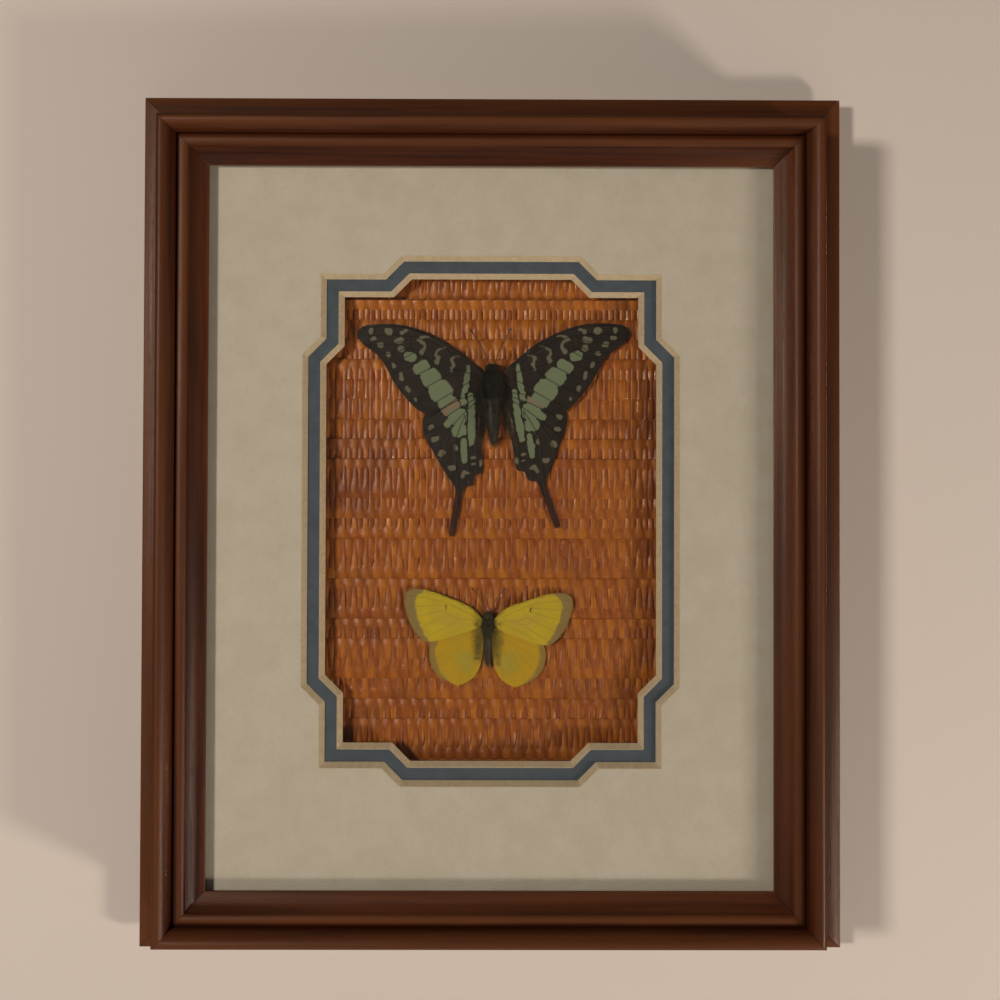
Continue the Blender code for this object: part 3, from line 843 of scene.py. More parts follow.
@dataclass
class MatBoard:
    """One board with a bevelled, notched window: paper on the face, pale pulp in the bevel."""

    layout: Layout
    node: str
    face: SheetStock
    core: SheetStock
    inset: float = 0.0
    half_width: float = 52.4 * MM
    top: float = 75.6 * MM
    bottom: float = -72.4 * MM
    notch: float = 5.2 * MM
    corner: float = 17 * MM
    eased: float = 0.12 * MM

    def window(self) -> list[Point2]:
        """The foot of the bevel, counter-clockwise from the middle of the frame."""
        outline: list[Point2] = []
        for sx, sz in ((1, -1), (1, 1), (-1, 1), (-1, -1)):
            side = sx * self.half_width
            end = self.top if sz > 0 else self.bottom
            corner_x = side - sx * self.notch
            corner_z = end - sz * self.notch
            points = [
                (side, corner_z - sz * (self.corner + self.notch)),
                (corner_x, corner_z - sz * self.corner),
                (corner_x, corner_z),
                (corner_x - sx * self.corner, corner_z),
                (corner_x - sx * (self.corner + self.notch), end),
            ]
            outline += points if sx == sz else points[::-1]
        return grown_outline(outline, -self.inset)

    def build(self) -> None:
        """Build the board as one closed ring with eased edges."""
        low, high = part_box(self.node)
        thick = high.y - low.y
        middle = self.layout.place(0, 0, 0)
        foot = self.window()
        bm = bmesh.new()

        def loop(outline: Sequence[Point2], y: float) -> list[bmesh.types.BMVert]:
            """Put a loop of the window in the mesh."""
            return [bm.verts.new((middle.x + x, y, middle.z + z)) for x, z in outline]

        def rectangle(y: float, ease: float) -> list[bmesh.types.BMVert]:
            """Put a loop of the outer edge in the mesh."""
            left, right, down, up = low.x + ease, high.x - ease, low.z + ease, high.z - ease
            corners = ((left, down), (right, down), (right, up), (left, up))
            return [bm.verts.new((x, y, z)) for x, z in corners]

        rows = [
            loop(grown_outline(foot, thick + self.eased), low.y),
            loop(grown_outline(foot, thick - 0.3 * self.eased), low.y + 0.3 * self.eased),
            loop(foot, high.y),
        ]
        edge = [rectangle(low.y, self.eased), rectangle(low.y + self.eased, 0), rectangle(high.y, 0)]
        pulp = []
        for stack in (rows, edge):
            for near, far in zip(stack, stack[1:]):
                for j in range(len(near)):
                    k = (j + 1) % len(near)
                    pulp.append(bm.faces.new((near[j], near[k], far[k], far[j])))
        paper = []
        for inner, outer in ((rows[0], edge[0]), (rows[-1], edge[-1])):
            rim = [
                bm.edges.get((ring[j], ring[(j + 1) % len(ring)]))
                for ring in (inner, outer) for j in range(len(ring))
            ]
            filled = bmesh.ops.triangle_fill(bm, use_beauty=True, use_dissolve=False, edges=rim)
            paper.append([item for item in filled["geom"] if isinstance(item, bmesh.types.BMFace)])
        for face in pulp + paper[1]:
            face.material_index = 1
        data = mesh_from(bm, self.node, 20)
        board = stand(self.node + "_board", data, [self.face.build(), self.core.build()])
        hand_in(board, self.face.slot, self.node)


# ---------------------------------------------------------------- woven panel

@dataclass
class WovenPanel:
    """Plain-woven rush: upright strands over and under wide flat ones, hidden past the window."""

    layout: Layout
    warp_finish: PlantFibre
    weft_finish: PlantFibre
    node: str = "woven_panel"
    half_width: float = 62 * MM
    top: float = 84 * MM
    bottom: float = -81 * MM
    warp_pitch: float = 1.66 * MM
    weft_pitch: float = 5.8 * MM
    warp_size: Point2 = (1.6 * MM, 0.26 * MM)
    weft_size: Point2 = (5.8 * MM, 0.24 * MM)
    warp_wave: float = 0.08 * MM
    weft_wave: float = 0.1 * MM

    SOCKETS = {
        "Geometry": "NodeSocketGeometry", "Strands": "NodeSocketInt", "Pitch": "NodeSocketFloat",
        "Length": "NodeSocketFloat", "Samples": "NodeSocketInt", "Half Wave": "NodeSocketFloat",
        "Wave Height": "NodeSocketFloat", "Flatness": "NodeSocketFloat", "Width": "NodeSocketFloat",
        "Thickness": "NodeSocketFloat", "Waver": "NodeSocketFloat", "Seed": "NodeSocketInt",
        "Start Phase": "NodeSocketFloat", "Material": "NodeSocketMaterial",
    }

    def strand_tree(self) -> bpy.types.NodeTree:
        """Make the tree that lays a row of upright strands and waves each one over its neighbours.

        Returns:
            The geometry tree.
        """
        tree = bpy.data.node_groups.new("woven_strands", "GeometryNodeTree")
        given = node_inputs(tree, self.SOCKETS).outputs

        known = {socket.name: socket for socket in given if socket.name}
        work_out(
            tree, known, ("gaps", "SUBTRACT", "Strands", 1.0), ("reach", "MULTIPLY", "gaps", "Pitch"),
            ("first", "MULTIPLY", "reach", -0.5), ("top", "MULTIPLY", "Length", 0.5),
            ("foot", "MULTIPLY", "top", -1.0),
        )
        first, apart, foot, top = (
            add_node(tree, "ShaderNodeCombineXYZ", {axis: known[name]}).outputs[0]
            for axis, name in (("X", "first"), ("X", "Pitch"), ("Z", "foot"), ("Z", "top"))
        )
        row = add_node(tree, "GeometryNodeMeshLine", {
            "Count": given["Strands"], "Start Location": first, "Offset": apart,
        })
        line = add_node(tree, "GeometryNodeCurvePrimitiveLine", {"Start": foot, "End": top})
        points = add_node(tree, "GeometryNodeResampleCurve", {
            "Curve": line.outputs[0], "Count": given["Samples"],
        })
        laid = add_node(tree, "GeometryNodeInstanceOnPoints", {
            "Points": row.outputs[0], "Instance": points.outputs[0],
        })
        kept = add_node(tree, "GeometryNodeRealizeInstances", {0: laid.outputs[0]}).outputs[0]

        place = add_node(tree, "GeometryNodeInputPosition").outputs[0]
        axes = add_node(tree, "ShaderNodeSeparateXYZ", {0: place}).outputs
        known.update(across=axes["X"], along=axes["Z"])
        work_out(
            tree, known, ("from first", "SUBTRACT", "across", "first"),
            ("in pitches", "DIVIDE", "from first", "Pitch"), ("number", "ROUND", "in pitches"),
            ("waves", "DIVIDE", "along", "Half Wave"), ("waves", "ADD", "waves", "number"),
            ("waves", "ADD", "waves", "Start Phase"), ("angle", "MULTIPLY", "waves", math.pi),
            ("swing", "COSINE", "angle"), ("swing", "MULTIPLY", "swing", "Flatness"),
            ("hump", "TANH", "swing"), ("strand step", "MULTIPLY", "number", 3.7),
            ("length step", "MULTIPLY", "along", 55.0), ("seed step", "MULTIPLY", "Seed", 1.3),
        )
        steps = add_node(tree, "ShaderNodeCombineXYZ", {
            "X": known["strand step"], "Y": known["length step"], "Z": known["seed step"],
        }).outputs[0]
        known["drift"] = add_node(tree, "ShaderNodeTexNoise", {
            "Vector": steps, "Scale": 1.0, "Detail": 2.0,
        }).outputs[0]
        work_out(
            tree, known, ("sway", "SUBTRACT", "drift", 0.5), ("sway", "MULTIPLY", "sway", "Waver"),
            ("uneven", "MULTIPLY", "drift", 0.6), ("uneven", "ADD", 0.7, "uneven"),
            ("rise", "MULTIPLY", "hump", "Wave Height"), ("rise", "MULTIPLY", "rise", "uneven"),
            ("rise", "MULTIPLY", "rise", -1.0), ("float number", "MULTIPLY", "waves", 0.5),
            ("float number", "ROUND", "float number"), ("cell", "MULTIPLY", "number", 211.0),
            ("cell", "ADD", "cell", "float number"), ("ease", "MULTIPLY", "Thickness", 0.45),
        )
        offset = add_node(tree, "ShaderNodeCombineXYZ", {"X": known["sway"], "Y": known["rise"]})
        for name, number in (("strand", "number"), ("float", "cell")):
            known[name] = add_node(tree, "FunctionNodeRandomValue", {
                2: 0.0, 3: 1.0, "ID": known[number], "Seed": given["Seed"],
            }, data_type="FLOAT").outputs[1]
        for name in ("strand", "float", "hump"):
            kept = add_node(tree, "GeometryNodeStoreNamedAttribute", {
                "Geometry": kept, "Name": name, "Value": known[name],
            }, data_type="FLOAT", domain="POINT").outputs[0]
        moved = add_node(tree, "GeometryNodeSetPosition", {"Geometry": kept, "Offset": offset.outputs[0]})
        work_out(tree, known, ("wide", "MULTIPLY", "strand", 0.1), ("wide", "ADD", 0.96, "wide"))
        width = add_node(tree, "GeometryNodeSetCurveRadius", {
            "Curve": moved.outputs[0], "Radius": known["wide"],
        })
        ring = add_node(tree, "GeometryNodeCurvePrimitiveQuadrilateral", {
            "Width": given["Width"], "Height": given["Thickness"],
        })
        flat = add_node(tree, "GeometryNodeFilletCurve", {
            "Curve": ring.outputs[0], "Radius": known["ease"], "Count": 1,
        }, mode="POLY")
        swept = add_node(tree, "GeometryNodeCurveToMesh", {
            "Curve": width.outputs[0], "Profile Curve": flat.outputs[0], "Fill Caps": True,
        })
        smooth = add_node(tree, "GeometryNodeSetShadeSmooth", {0: swept.outputs[0]})
        real = add_node(tree, "GeometryNodeRealizeInstances", {0: smooth.outputs[0]})
        dressed = add_node(tree, "GeometryNodeSetMaterial", {
            "Geometry": real.outputs[0], "Material": given["Material"],
        })
        add_node(tree, "NodeGroupOutput", {0: dressed.outputs[0]})
        return tree

    def build(self) -> None:
        """Weave the upright strands and the flat ones, each set as one piece."""
        tree = self.strand_tree()
        low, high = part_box(self.node)
        middle = self.layout.place(0, 0, (self.top + self.bottom) / 2)
        middle.y = (low.y + high.y) / 2
        height = self.top - self.bottom
        width = 2 * self.half_width
        rows = round(height / self.weft_pitch)
        columns = round(width / self.warp_pitch)
        uprights = {
            "Strands": columns, "Pitch": self.warp_pitch, "Length": height, "Samples": rows * 5 + 1,
            "Half Wave": self.weft_pitch, "Wave Height": self.warp_wave, "Flatness": 5.5,
            "Width": self.warp_size[0], "Thickness": self.warp_size[1], "Waver": 0.34 * MM, "Seed": 3,
            "Start Phase": (rows - 1) / 2 % 2, "Material": self.warp_finish.build(),
        }
        flats = {
            "Strands": rows, "Pitch": self.weft_pitch, "Length": width, "Samples": columns * 4 + 1,
            "Half Wave": self.warp_pitch, "Wave Height": self.weft_wave, "Flatness": 2.4,
            "Width": self.weft_size[0], "Thickness": self.weft_size[1], "Waver": 0.3 * MM, "Seed": 11,
            "Start Phase": (columns + 1) / 2 % 2, "Material": self.weft_finish.build(),
        }
        sets = (
            ("weave_uprights", uprights, Matrix.Identity(4), (self.node,)),
            ("weave_flats", flats, Matrix.Rotation(math.pi / 2, 4, "Y"), ()),
        )
        for name, values, turn, nodes in sets:
            data = grow(name, bpy.data.meshes.new(name + "_seed"), tree, values)
            data.transform(Matrix.Translation(middle) @ turn)
            hand_in(stand(name, data, [values["Material"]]), self.warp_finish.slot, *nodes)


# ---------------------------------------------------------------- the back

@dataclass
class Back:
    """What closes and hangs the frame: paper cover, sawtooth hanger, nails, bumpers and the hidden stack."""

    layout: Layout
    kraft: SheetStock
    brassed: PlatedSteel
    steel: PlatedSteel
    zinc: PlatedSteel
    rubber: SheetStock
    foam: SheetStock
    hardboard: SheetStock
    cover_cells: tuple[int, int] = (60, 72)
    cover_ripple: float = 0.5 * MM
    tooth_pitch: float = 4 * MM
    tooth_depth: float = 1.6 * MM
    notches: int = 7
    hanger_ease: float = 0.15 * MM

    def cover(self) -> None:
        """Kraft paper glued round its edge, slack enough to dip a little between the rails."""
        low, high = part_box("dust_cover")
        across, up = self.cover_cells
        bm = bmesh.new()
        sheets = []
        for y in (low.y, high.y):
            sheet = []
            for i in range(across + 1):
                for j in range(up + 1):
                    s, t = i / across, j / up
                    slack = min(1.0, 9 * min(s, 1 - s, t, 1 - t))
                    x, z = low.x + s * (high.x - low.x), low.z + t * (high.z - low.z)
                    dip = 0.55 + 0.5 * noise.noise(Vector((x * 24, z * 14, 4.1)))
                    crease = max(0.0, noise.noise(Vector((x * 60 + z * 22, z * 9, 8.8)))) * 0.5
                    sink = self.cover_ripple * slack * (dip - crease)
                    sheet.append(bm.verts.new((x, y - sink, z)))
            sheets.append(sheet)
        step = up + 1
        front, back = sheets
        for i in range(across):
            for j in range(up):
                a, b, c, d = i * step + j, (i + 1) * step + j, (i + 1) * step + j + 1, i * step + j + 1
                bm.faces.new((front[a], front[b], front[c], front[d]))
                bm.faces.new((back[a], back[d], back[c], back[b]))
        rim = [i * step for i in range(across + 1)]
        rim += [across * step + j for j in range(1, up + 1)]
        rim += [i * step + up for i in range(across - 1, -1, -1)]
        rim += list(range(up - 1, 0, -1))
        for a, b in zip(rim, rim[1:] + rim[:1]):
            bm.faces.new((front[a], back[a], back[b], front[b]))
        cover = stand("paper_cover", mesh_from(bm, "paper_cover", 40), [self.kraft.build()])
        hand_in(cover, self.kraft.slot, "dust_cover")

    def hanger(self) -> None:
        """Sawtooth hanger, stamped from strip with eased edges and a pressed rib."""
        low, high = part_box("sawtooth_hanger")
        half = (high.x - low.x) / 2
        teeth = self.notches * self.tooth_pitch / 2
        outline = [(-half, MM), (-half + MM, 0.0), (-teeth - 0.6 * MM, 0.0), (-teeth, low.z)]
        for notch in range(self.notches):
            middle = -teeth + (notch + 0.5) * self.tooth_pitch
            outline += [(middle, 0.0), (middle + self.tooth_pitch / 2, -self.tooth_depth)]
        shoulder = high.z - MM
        outline += [(teeth + 0.6 * MM, 0.0), (half - MM, 0.0), (half, MM), (half, shoulder)]
        for sign in (1, -1):
            arc = [(sign * (half - 3 * MM), high.z - 0.3 * MM), (sign * teeth, high.z)]
            outline += arc if sign > 0 else arc[::-1]
        outline.append((-half, shoulder))
        bm = bevelled_plate(outline, low.y, high.y, self.hanger_ease, 2)
        rib = bevelled_plate(
            [(-teeth, 3.9 * MM), (teeth, 3.9 * MM), (teeth, 5.1 * MM), (-teeth, 5.1 * MM)],
            high.y - 0.2 * MM, high.y + 0.25 * MM, 0.2 * MM, 2,
        )
        scratch = bpy.data.meshes.new("rib")
        rib.to_mesh(scratch)
        rib.free()
        bm.from_mesh(scratch)
        plate = stand("sawtooth_hanger_plate", mesh_from(bm, "sawtooth_hanger", 35), [self.brassed.build()])
        hand_in(plate, self.brassed.slot, "sawtooth_hanger")

    def turned_piece(self, name: str, node: str, profile: Sequence[Point2], sides: int, sharp: float,
                     slot: str, material: bpy.types.Material) -> None:
        """Turn one piece about the middle of its node.

        Args:
            name: The piece's name.
            node: The solid that it replaces.
            profile: Its (radius, y) points.
            sides: Sides round its axis.
            sharp: Edges that bend more than this many degrees stay sharp.
            slot: Its material slot.
            material: Its material.
        """
        low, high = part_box(node)
        data = mesh_from(turned(profile, sides), node, sharp)
        data.transform(Matrix.Translation(((low.x + high.x) / 2, 0, (low.z + high.z) / 2)))
        hand_in(stand(name, data, [material]), slot, node)

    def turned_pieces(self) -> None:
        """Two round-headed nails and two domed wall bumpers."""
        steel, rubber = self.steel.build(), self.rubber.build()
        for side in ("left", "right"):
            node = "hanger_nail_" + side
            low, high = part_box(node)
            head, shank = (high.x - low.x) / 2, 0.6 * MM
            profile = [
                (0.0, low.y), (shank * 0.45, low.y + 0.9 * MM), (shank, low.y + 1.8 * MM),
                (shank, high.y - 0.62 * MM), (head * 0.96, high.y - 0.55 * MM), (head, high.y - 0.4 * MM),
                (head * 0.9, high.y - 0.18 * MM), (head * 0.6, high.y - 0.05 * MM), (0.0, high.y),
            ]
            self.turned_piece("round_nail_" + side, node, profile, 28, 40, self.steel.slot, steel)

            node = "wall_bumper_" + side
            low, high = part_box(node)
            wide = (high.x - low.x) / 2
            profile = [(0.0, low.y), (wide * 0.97, low.y), (wide, low.y + 0.15 * MM)]
            profile += [
                (wide * (0.8 + 0.2 * math.cos(math.radians(a))), high.y - (high.y - low.y - 0.3 * MM)
                 * (1 - math.sin(math.radians(a))))
                for a in range(10, 91, 16)
            ]
            profile += [(wide * 0.5, high.y), (0.0, high.y)]
            self.turned_piece("bumper_" + side, node, profile, 40, 45, self.rubber.slot, rubber)

    def dress_hidden(self, nodes: Mapping[str, bpy.types.Object]) -> None:
        """Give the spacers, backing board and framer's points their finishes; their solids stay.

        Args:
            nodes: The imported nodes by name.
        """
        dressings = (("spacer_", self.foam), ("backing_board", self.hardboard), ("point_", self.zinc))
        for prefix, finish in dressings:
            material = finish.build()
            for name in sorted(nodes):
                if name.startswith(prefix):
                    nodes[name].data.materials.clear()
                    nodes[name].data.materials.append(material)
                    LOG.info("%s: solid kept, dressed as %s", name, finish.name)

    def build(self, nodes: Mapping[str, bpy.types.Object]) -> None:
        """Build the whole back."""
        self.cover()
        self.hanger()
        self.turned_pieces()
        self.dress_hidden(nodes)


# ---------------------------------------------------------------- studio

@dataclass(frozen=True)
class Lamp:
    """A soft square studio light, placed from the middle of the frame."""

    name: str
    place: tuple[float, float, float]
    size: float
    watts: float
    colour: str


@dataclass
class Studio:
    """Pale wall and floor, two soft side lights with a weak fill, and the camera."""

    layout: Layout
    wall_colour: str = "F8F5F1"
    wall_gap: float = 1.5 * MM
    floor_drop: float = 0.75
    fill: str = "FFF1E2"
    fill_strength: float = 0.06
    lens: float = 37.96
    camera_place: tuple[float, float, float] = (4.34 * MM, -290 * MM, 33.71 * MM)
    camera_turn: tuple[float, float, float] = (0.703, -0.167, -0.197)
    shift: Point2 = (-0.01, -0.105)
    lamps: tuple[Lamp, ...] = (
        Lamp("upper_left_softbox", (-0.54, -0.70, 0.12), 0.11, 3.3, "FFEBDA"),
        Lamp("lower_right_softbox", (0.72, -0.42, -0.46), 0.13, 3.4, "FFE9D6"),
        Lamp("back_softbox", (0.4, 1.0, 0.05), 0.5, 4.0, "FFF4E8"),
    )

    def backdrop(self, name: str, corners: Sequence[Vector], see_through_back: bool) -> None:
        """Make one flat pale surface of the set.

        Args:
            name: The surface's name.
            corners: Its corners, counter-clockwise from the side that is seen.
            see_through_back: Whether it is clear from behind and throws nothing back.
        """
        bm = bmesh.new()
        bm.faces.new([bm.verts.new(corner) for corner in corners])
        data = bpy.data.meshes.new(name)
        bm.to_mesh(data)
        bm.free()
        paint = bpy.data.materials.new(name + "_matt_paint")
        paint.use_nodes = True
        tree = paint.node_tree
        shader = tree.nodes["Principled BSDF"]
        shader.inputs["Base Color"].default_value = linear(self.wall_colour)
        shader.inputs["Roughness"].default_value = 0.95
        shader.inputs["Specular IOR Level"].default_value = 0.1
        surface = stand(name, data, [paint])
        if see_through_back:
            clear = add_node(tree, "ShaderNodeBsdfTransparent").outputs[0]
            behind = add_node(tree, "ShaderNodeNewGeometry").outputs["Backfacing"]
            shown = add_node(tree, "ShaderNodeMixShader", {0: behind, 1: shader.outputs[0], 2: clear})
            tree.links.new(shown.outputs[0], tree.nodes["Material Output"].inputs["Surface"])
            surface.visible_shadow = False
            surface.visible_diffuse = False
            surface.visible_glossy = False
            surface.visible_transmission = False
        surface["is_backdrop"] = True

    def build(self) -> None:
        """Set the wall, the floor, the lights and the camera."""
        middle = self.layout.place(0, 0, 0)
        wall_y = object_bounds()[1].y + self.wall_gap
        reach = 3.0
        self.backdrop("wall", [
            Vector((-reach, wall_y, -self.floor_drop)), Vector((reach, wall_y, -self.floor_drop)),
            Vector((reach, wall_y, reach)), Vector((-reach, wall_y, reach)),
        ], True)
        self.backdrop("floor", [
            Vector((-reach, -reach, -self.floor_drop)), Vector((reach, -reach, -self.floor_drop)),
            Vector((reach, reach, -self.floor_drop)), Vector((-reach, reach, -self.floor_drop)),
        ], False)
        for lamp in self.lamps:
            data = bpy.data.lights.new(lamp.name, "AREA")
            data.size = lamp.size
            data.energy = lamp.watts
            data.color = linear(lamp.colour)[:3]
            light = bpy.data.objects.new(lamp.name, data)
            bpy.context.scene.collection.objects.link(light)
            light.location = middle + Vector(lamp.place)
            light.rotation_euler = (middle - light.location).to_track_quat("-Z", "Y").to_euler()
        world = bpy.data.worlds.new("soft_fill")
        world.use_nodes = True
        sky = world.node_tree.nodes["Background"]
        sky.inputs["Color"].default_value = linear(self.fill)
        sky.inputs["Strength"].default_value = self.fill_strength
        bpy.context.scene.world = world
        bpy.context.scene.view_settings.view_transform = "Standard"
        data = bpy.data.cameras.new("camera")
        data.lens = self.lens
        data.shift_x, data.shift_y = self.shift
        data.clip_start = 0.01
        camera = bpy.data.objects.new("camera", data)
        bpy.context.scene.collection.objects.link(camera)
        camera.location = self.layout.place(*self.camera_place)
        pitch, roll, yaw = (math.radians(angle) for angle in self.camera_turn)
        camera.rotation_euler = (math.pi / 2 + pitch, roll, yaw)
        bpy.context.scene.camera = camera


# ---------------------------------------------------------------- butterfly finishes

class Mark(Enum):
    """The markings that a wing can carry; each is kept on the mesh under its own name."""

    BAND = "band"
    SPOT = "spot"
    PALE = "pale"
    BORDER = "border"
    DOT = "dot"
    VEIN = "vein"
    DOWN = "down"


@dataclass(frozen=True)
class WingScales(Finish):
    """Dried wing, spread and set: rows of overlapping scales on a dry membrane.

    The eye gets a matt powdery face with a faint sheen, ground colour broken by markings
    with soft scale-edged rims, veins as fine lines, and tones that drift over the wing.
    """

    ground: str = "2C2015"
    drift: str = "3A2A1B"
    layers: tuple[tuple[Mark, str, float], ...] = ()
    sheen: float = 0.25
    scale_row: float = 0.22 * MM
    drift_size: float = 5 * MM

    def build(self) -> bpy.types.Material:
        """Make the material."""
        material, tree, shader = self.begin()
        place = add_node(tree, "ShaderNodeTexCoord").outputs["Object"]
        clouds = add_node(tree, "ShaderNodeTexNoise", {
            "Vector": place, "Scale": 1 / self.drift_size, "Detail": 4.0, "Roughness": 0.65,
        }).outputs[0]
        share = add_node(tree, "ShaderNodeMapRange", {0: clouds, 1: 0.35, 2: 0.65, 3: 0.0, 4: 1.0}).outputs[0]
        coats = [(share, self.drift)]
        scales = add_node(tree, "ShaderNodeTexNoise", {
            "Vector": place, "Scale": 1 / self.scale_row, "Detail": 2.0, "Roughness": 0.7,
        }).outputs[0]
        ragged = add_node(tree, "ShaderNodeMapRange", {
            0: scales, 1: 0.25, 2: 0.75, 3: -0.22, 4: 0.22,
        }).outputs[0]
        known = {"scales": scales, "ragged": ragged}
        for mark in Mark:
            mask = add_node(tree, "ShaderNodeAttribute", attribute_name=mark.value)
            known[mark.value] = mask.outputs["Fac"]
        for mark, colour, strength in self.layers:
            work_out(tree, known, ("uneven mask", "ADD", mark.value, "ragged"))
            cover = add_node(tree, "ShaderNodeMapRange", {
                0: known["uneven mask"], 1: 0.3, 2: 0.7, 3: 0.0, 4: strength,
            }).outputs[0]
            coats.append((cover, colour))
        wing = self.layered(tree, linear(self.ground), coats)
        tree.links.new(wing, shader.inputs["Base Color"])
        shader.inputs["Sheen Weight"].default_value = self.sheen
        shader.inputs["Sheen Roughness"].default_value = 0.4
        shader.inputs["Specular IOR Level"].default_value = 0.25
        work_out(
            tree, known, ("vein ridge", "MULTIPLY", Mark.VEIN.value, 1.6),
            ("relief", "ADD", "vein ridge", "scales"),
        )
        bump = add_node(tree, "ShaderNodeBump", {
            "Strength": 0.55, "Distance": 0.06 * MM, "Height": known["relief"],
        })
        tree.links.new(bump.outputs[0], shader.inputs["Normal"])
        return material


@dataclass(frozen=True)
class Cuticle(Finish):
    """Dried insect cuticle or hair: dark, with a dull shine and tones that change along it."""

    base: str = "1E1A12"
    tip: str = "3B3222"
    patch: float = 1.4 * MM

    def build(self) -> bpy.types.Material:
        """Make the material."""
        material, tree, shader = self.begin()
        place = add_node(tree, "ShaderNodeTexCoord").outputs["Object"]
        clouds = add_node(tree, "ShaderNodeTexNoise", {
            "Vector": place, "Scale": 1 / self.patch, "Detail": 3.0, "Roughness": 0.6,
        }).outputs[0]
        share = add_node(tree, "ShaderNodeMapRange", {0: clouds, 1: 0.35, 2: 0.65, 3: 0.0, 4: 1.0}).outputs[0]
        tone = self.layered(tree, linear(self.base), ((share, self.tip),))
        tree.links.new(tone, shader.inputs["Base Color"])
        bump = add_node(tree, "ShaderNodeBump", {"Strength": 0.4, "Distance": 0.05 * MM, "Height": clouds})
        tree.links.new(bump.outputs[0], shader.inputs["Normal"])
        return material


# ---------------------------------------------------------------- butterflies

@dataclass(frozen=True)
class Stroke:
    """A marking drawn along a line. Wing places are millimetres: out from the body, towards the head."""

    mark: Mark
    path: tuple[Point2, ...]
    widths: tuple[float, ...]
    soft: float = 0.22
    strength: float = 1.0

    def mask(self, places: np.ndarray) -> np.ndarray:
        """How far each place is covered.

        Args:
            places: Wing places, one to a row.

        Returns:
            0 to the stroke's strength for each place.
        """
        cover = np.zeros(len(places))
        widths = self.widths if len(self.widths) > 1 else self.widths * len(self.path)
        for start, end, wide, wide_end in zip(self.path, self.path[1:], widths, widths[1:]):
            a, b = np.array(start), np.array(end)
            run = b - a
            t = np.clip((places - a) @ run / max(run @ run, 1e-9), 0, 1)
            away = np.linalg.norm(places - a - t[:, None] * run, axis=1)
            half = (wide + (wide_end - wide) * t) / 2
            cover = np.maximum(cover, np.clip(0.5 + (half - away) / self.soft, 0, 1))
        return cover * self.strength


@dataclass(frozen=True)
class Patch:
    """A marking with a rounded outline, long along its turn."""

    mark: Mark
    centre: Point2
    size: Point2
    turn: float = 0.0
    square: float = 2.6
    soft: float = 0.22
    strength: float = 1.0

    def mask(self, places: np.ndarray) -> np.ndarray:
        """How far each place is covered, as for a stroke."""
        angle = math.radians(self.turn)
        away = places - np.array(self.centre)
        along = away @ np.array((math.cos(angle), math.sin(angle)))
        across = away @ np.array((-math.sin(angle), math.cos(angle)))
        half = (self.size[0] / 2, self.size[1] / 2)
        reach = (np.abs(along / half[0]) ** self.square + np.abs(across / half[1]) ** self.square)
        inside = (1 - reach ** (1 / self.square)) * min(half)
        return np.clip(0.5 + inside / self.soft, 0, 1) * self.strength


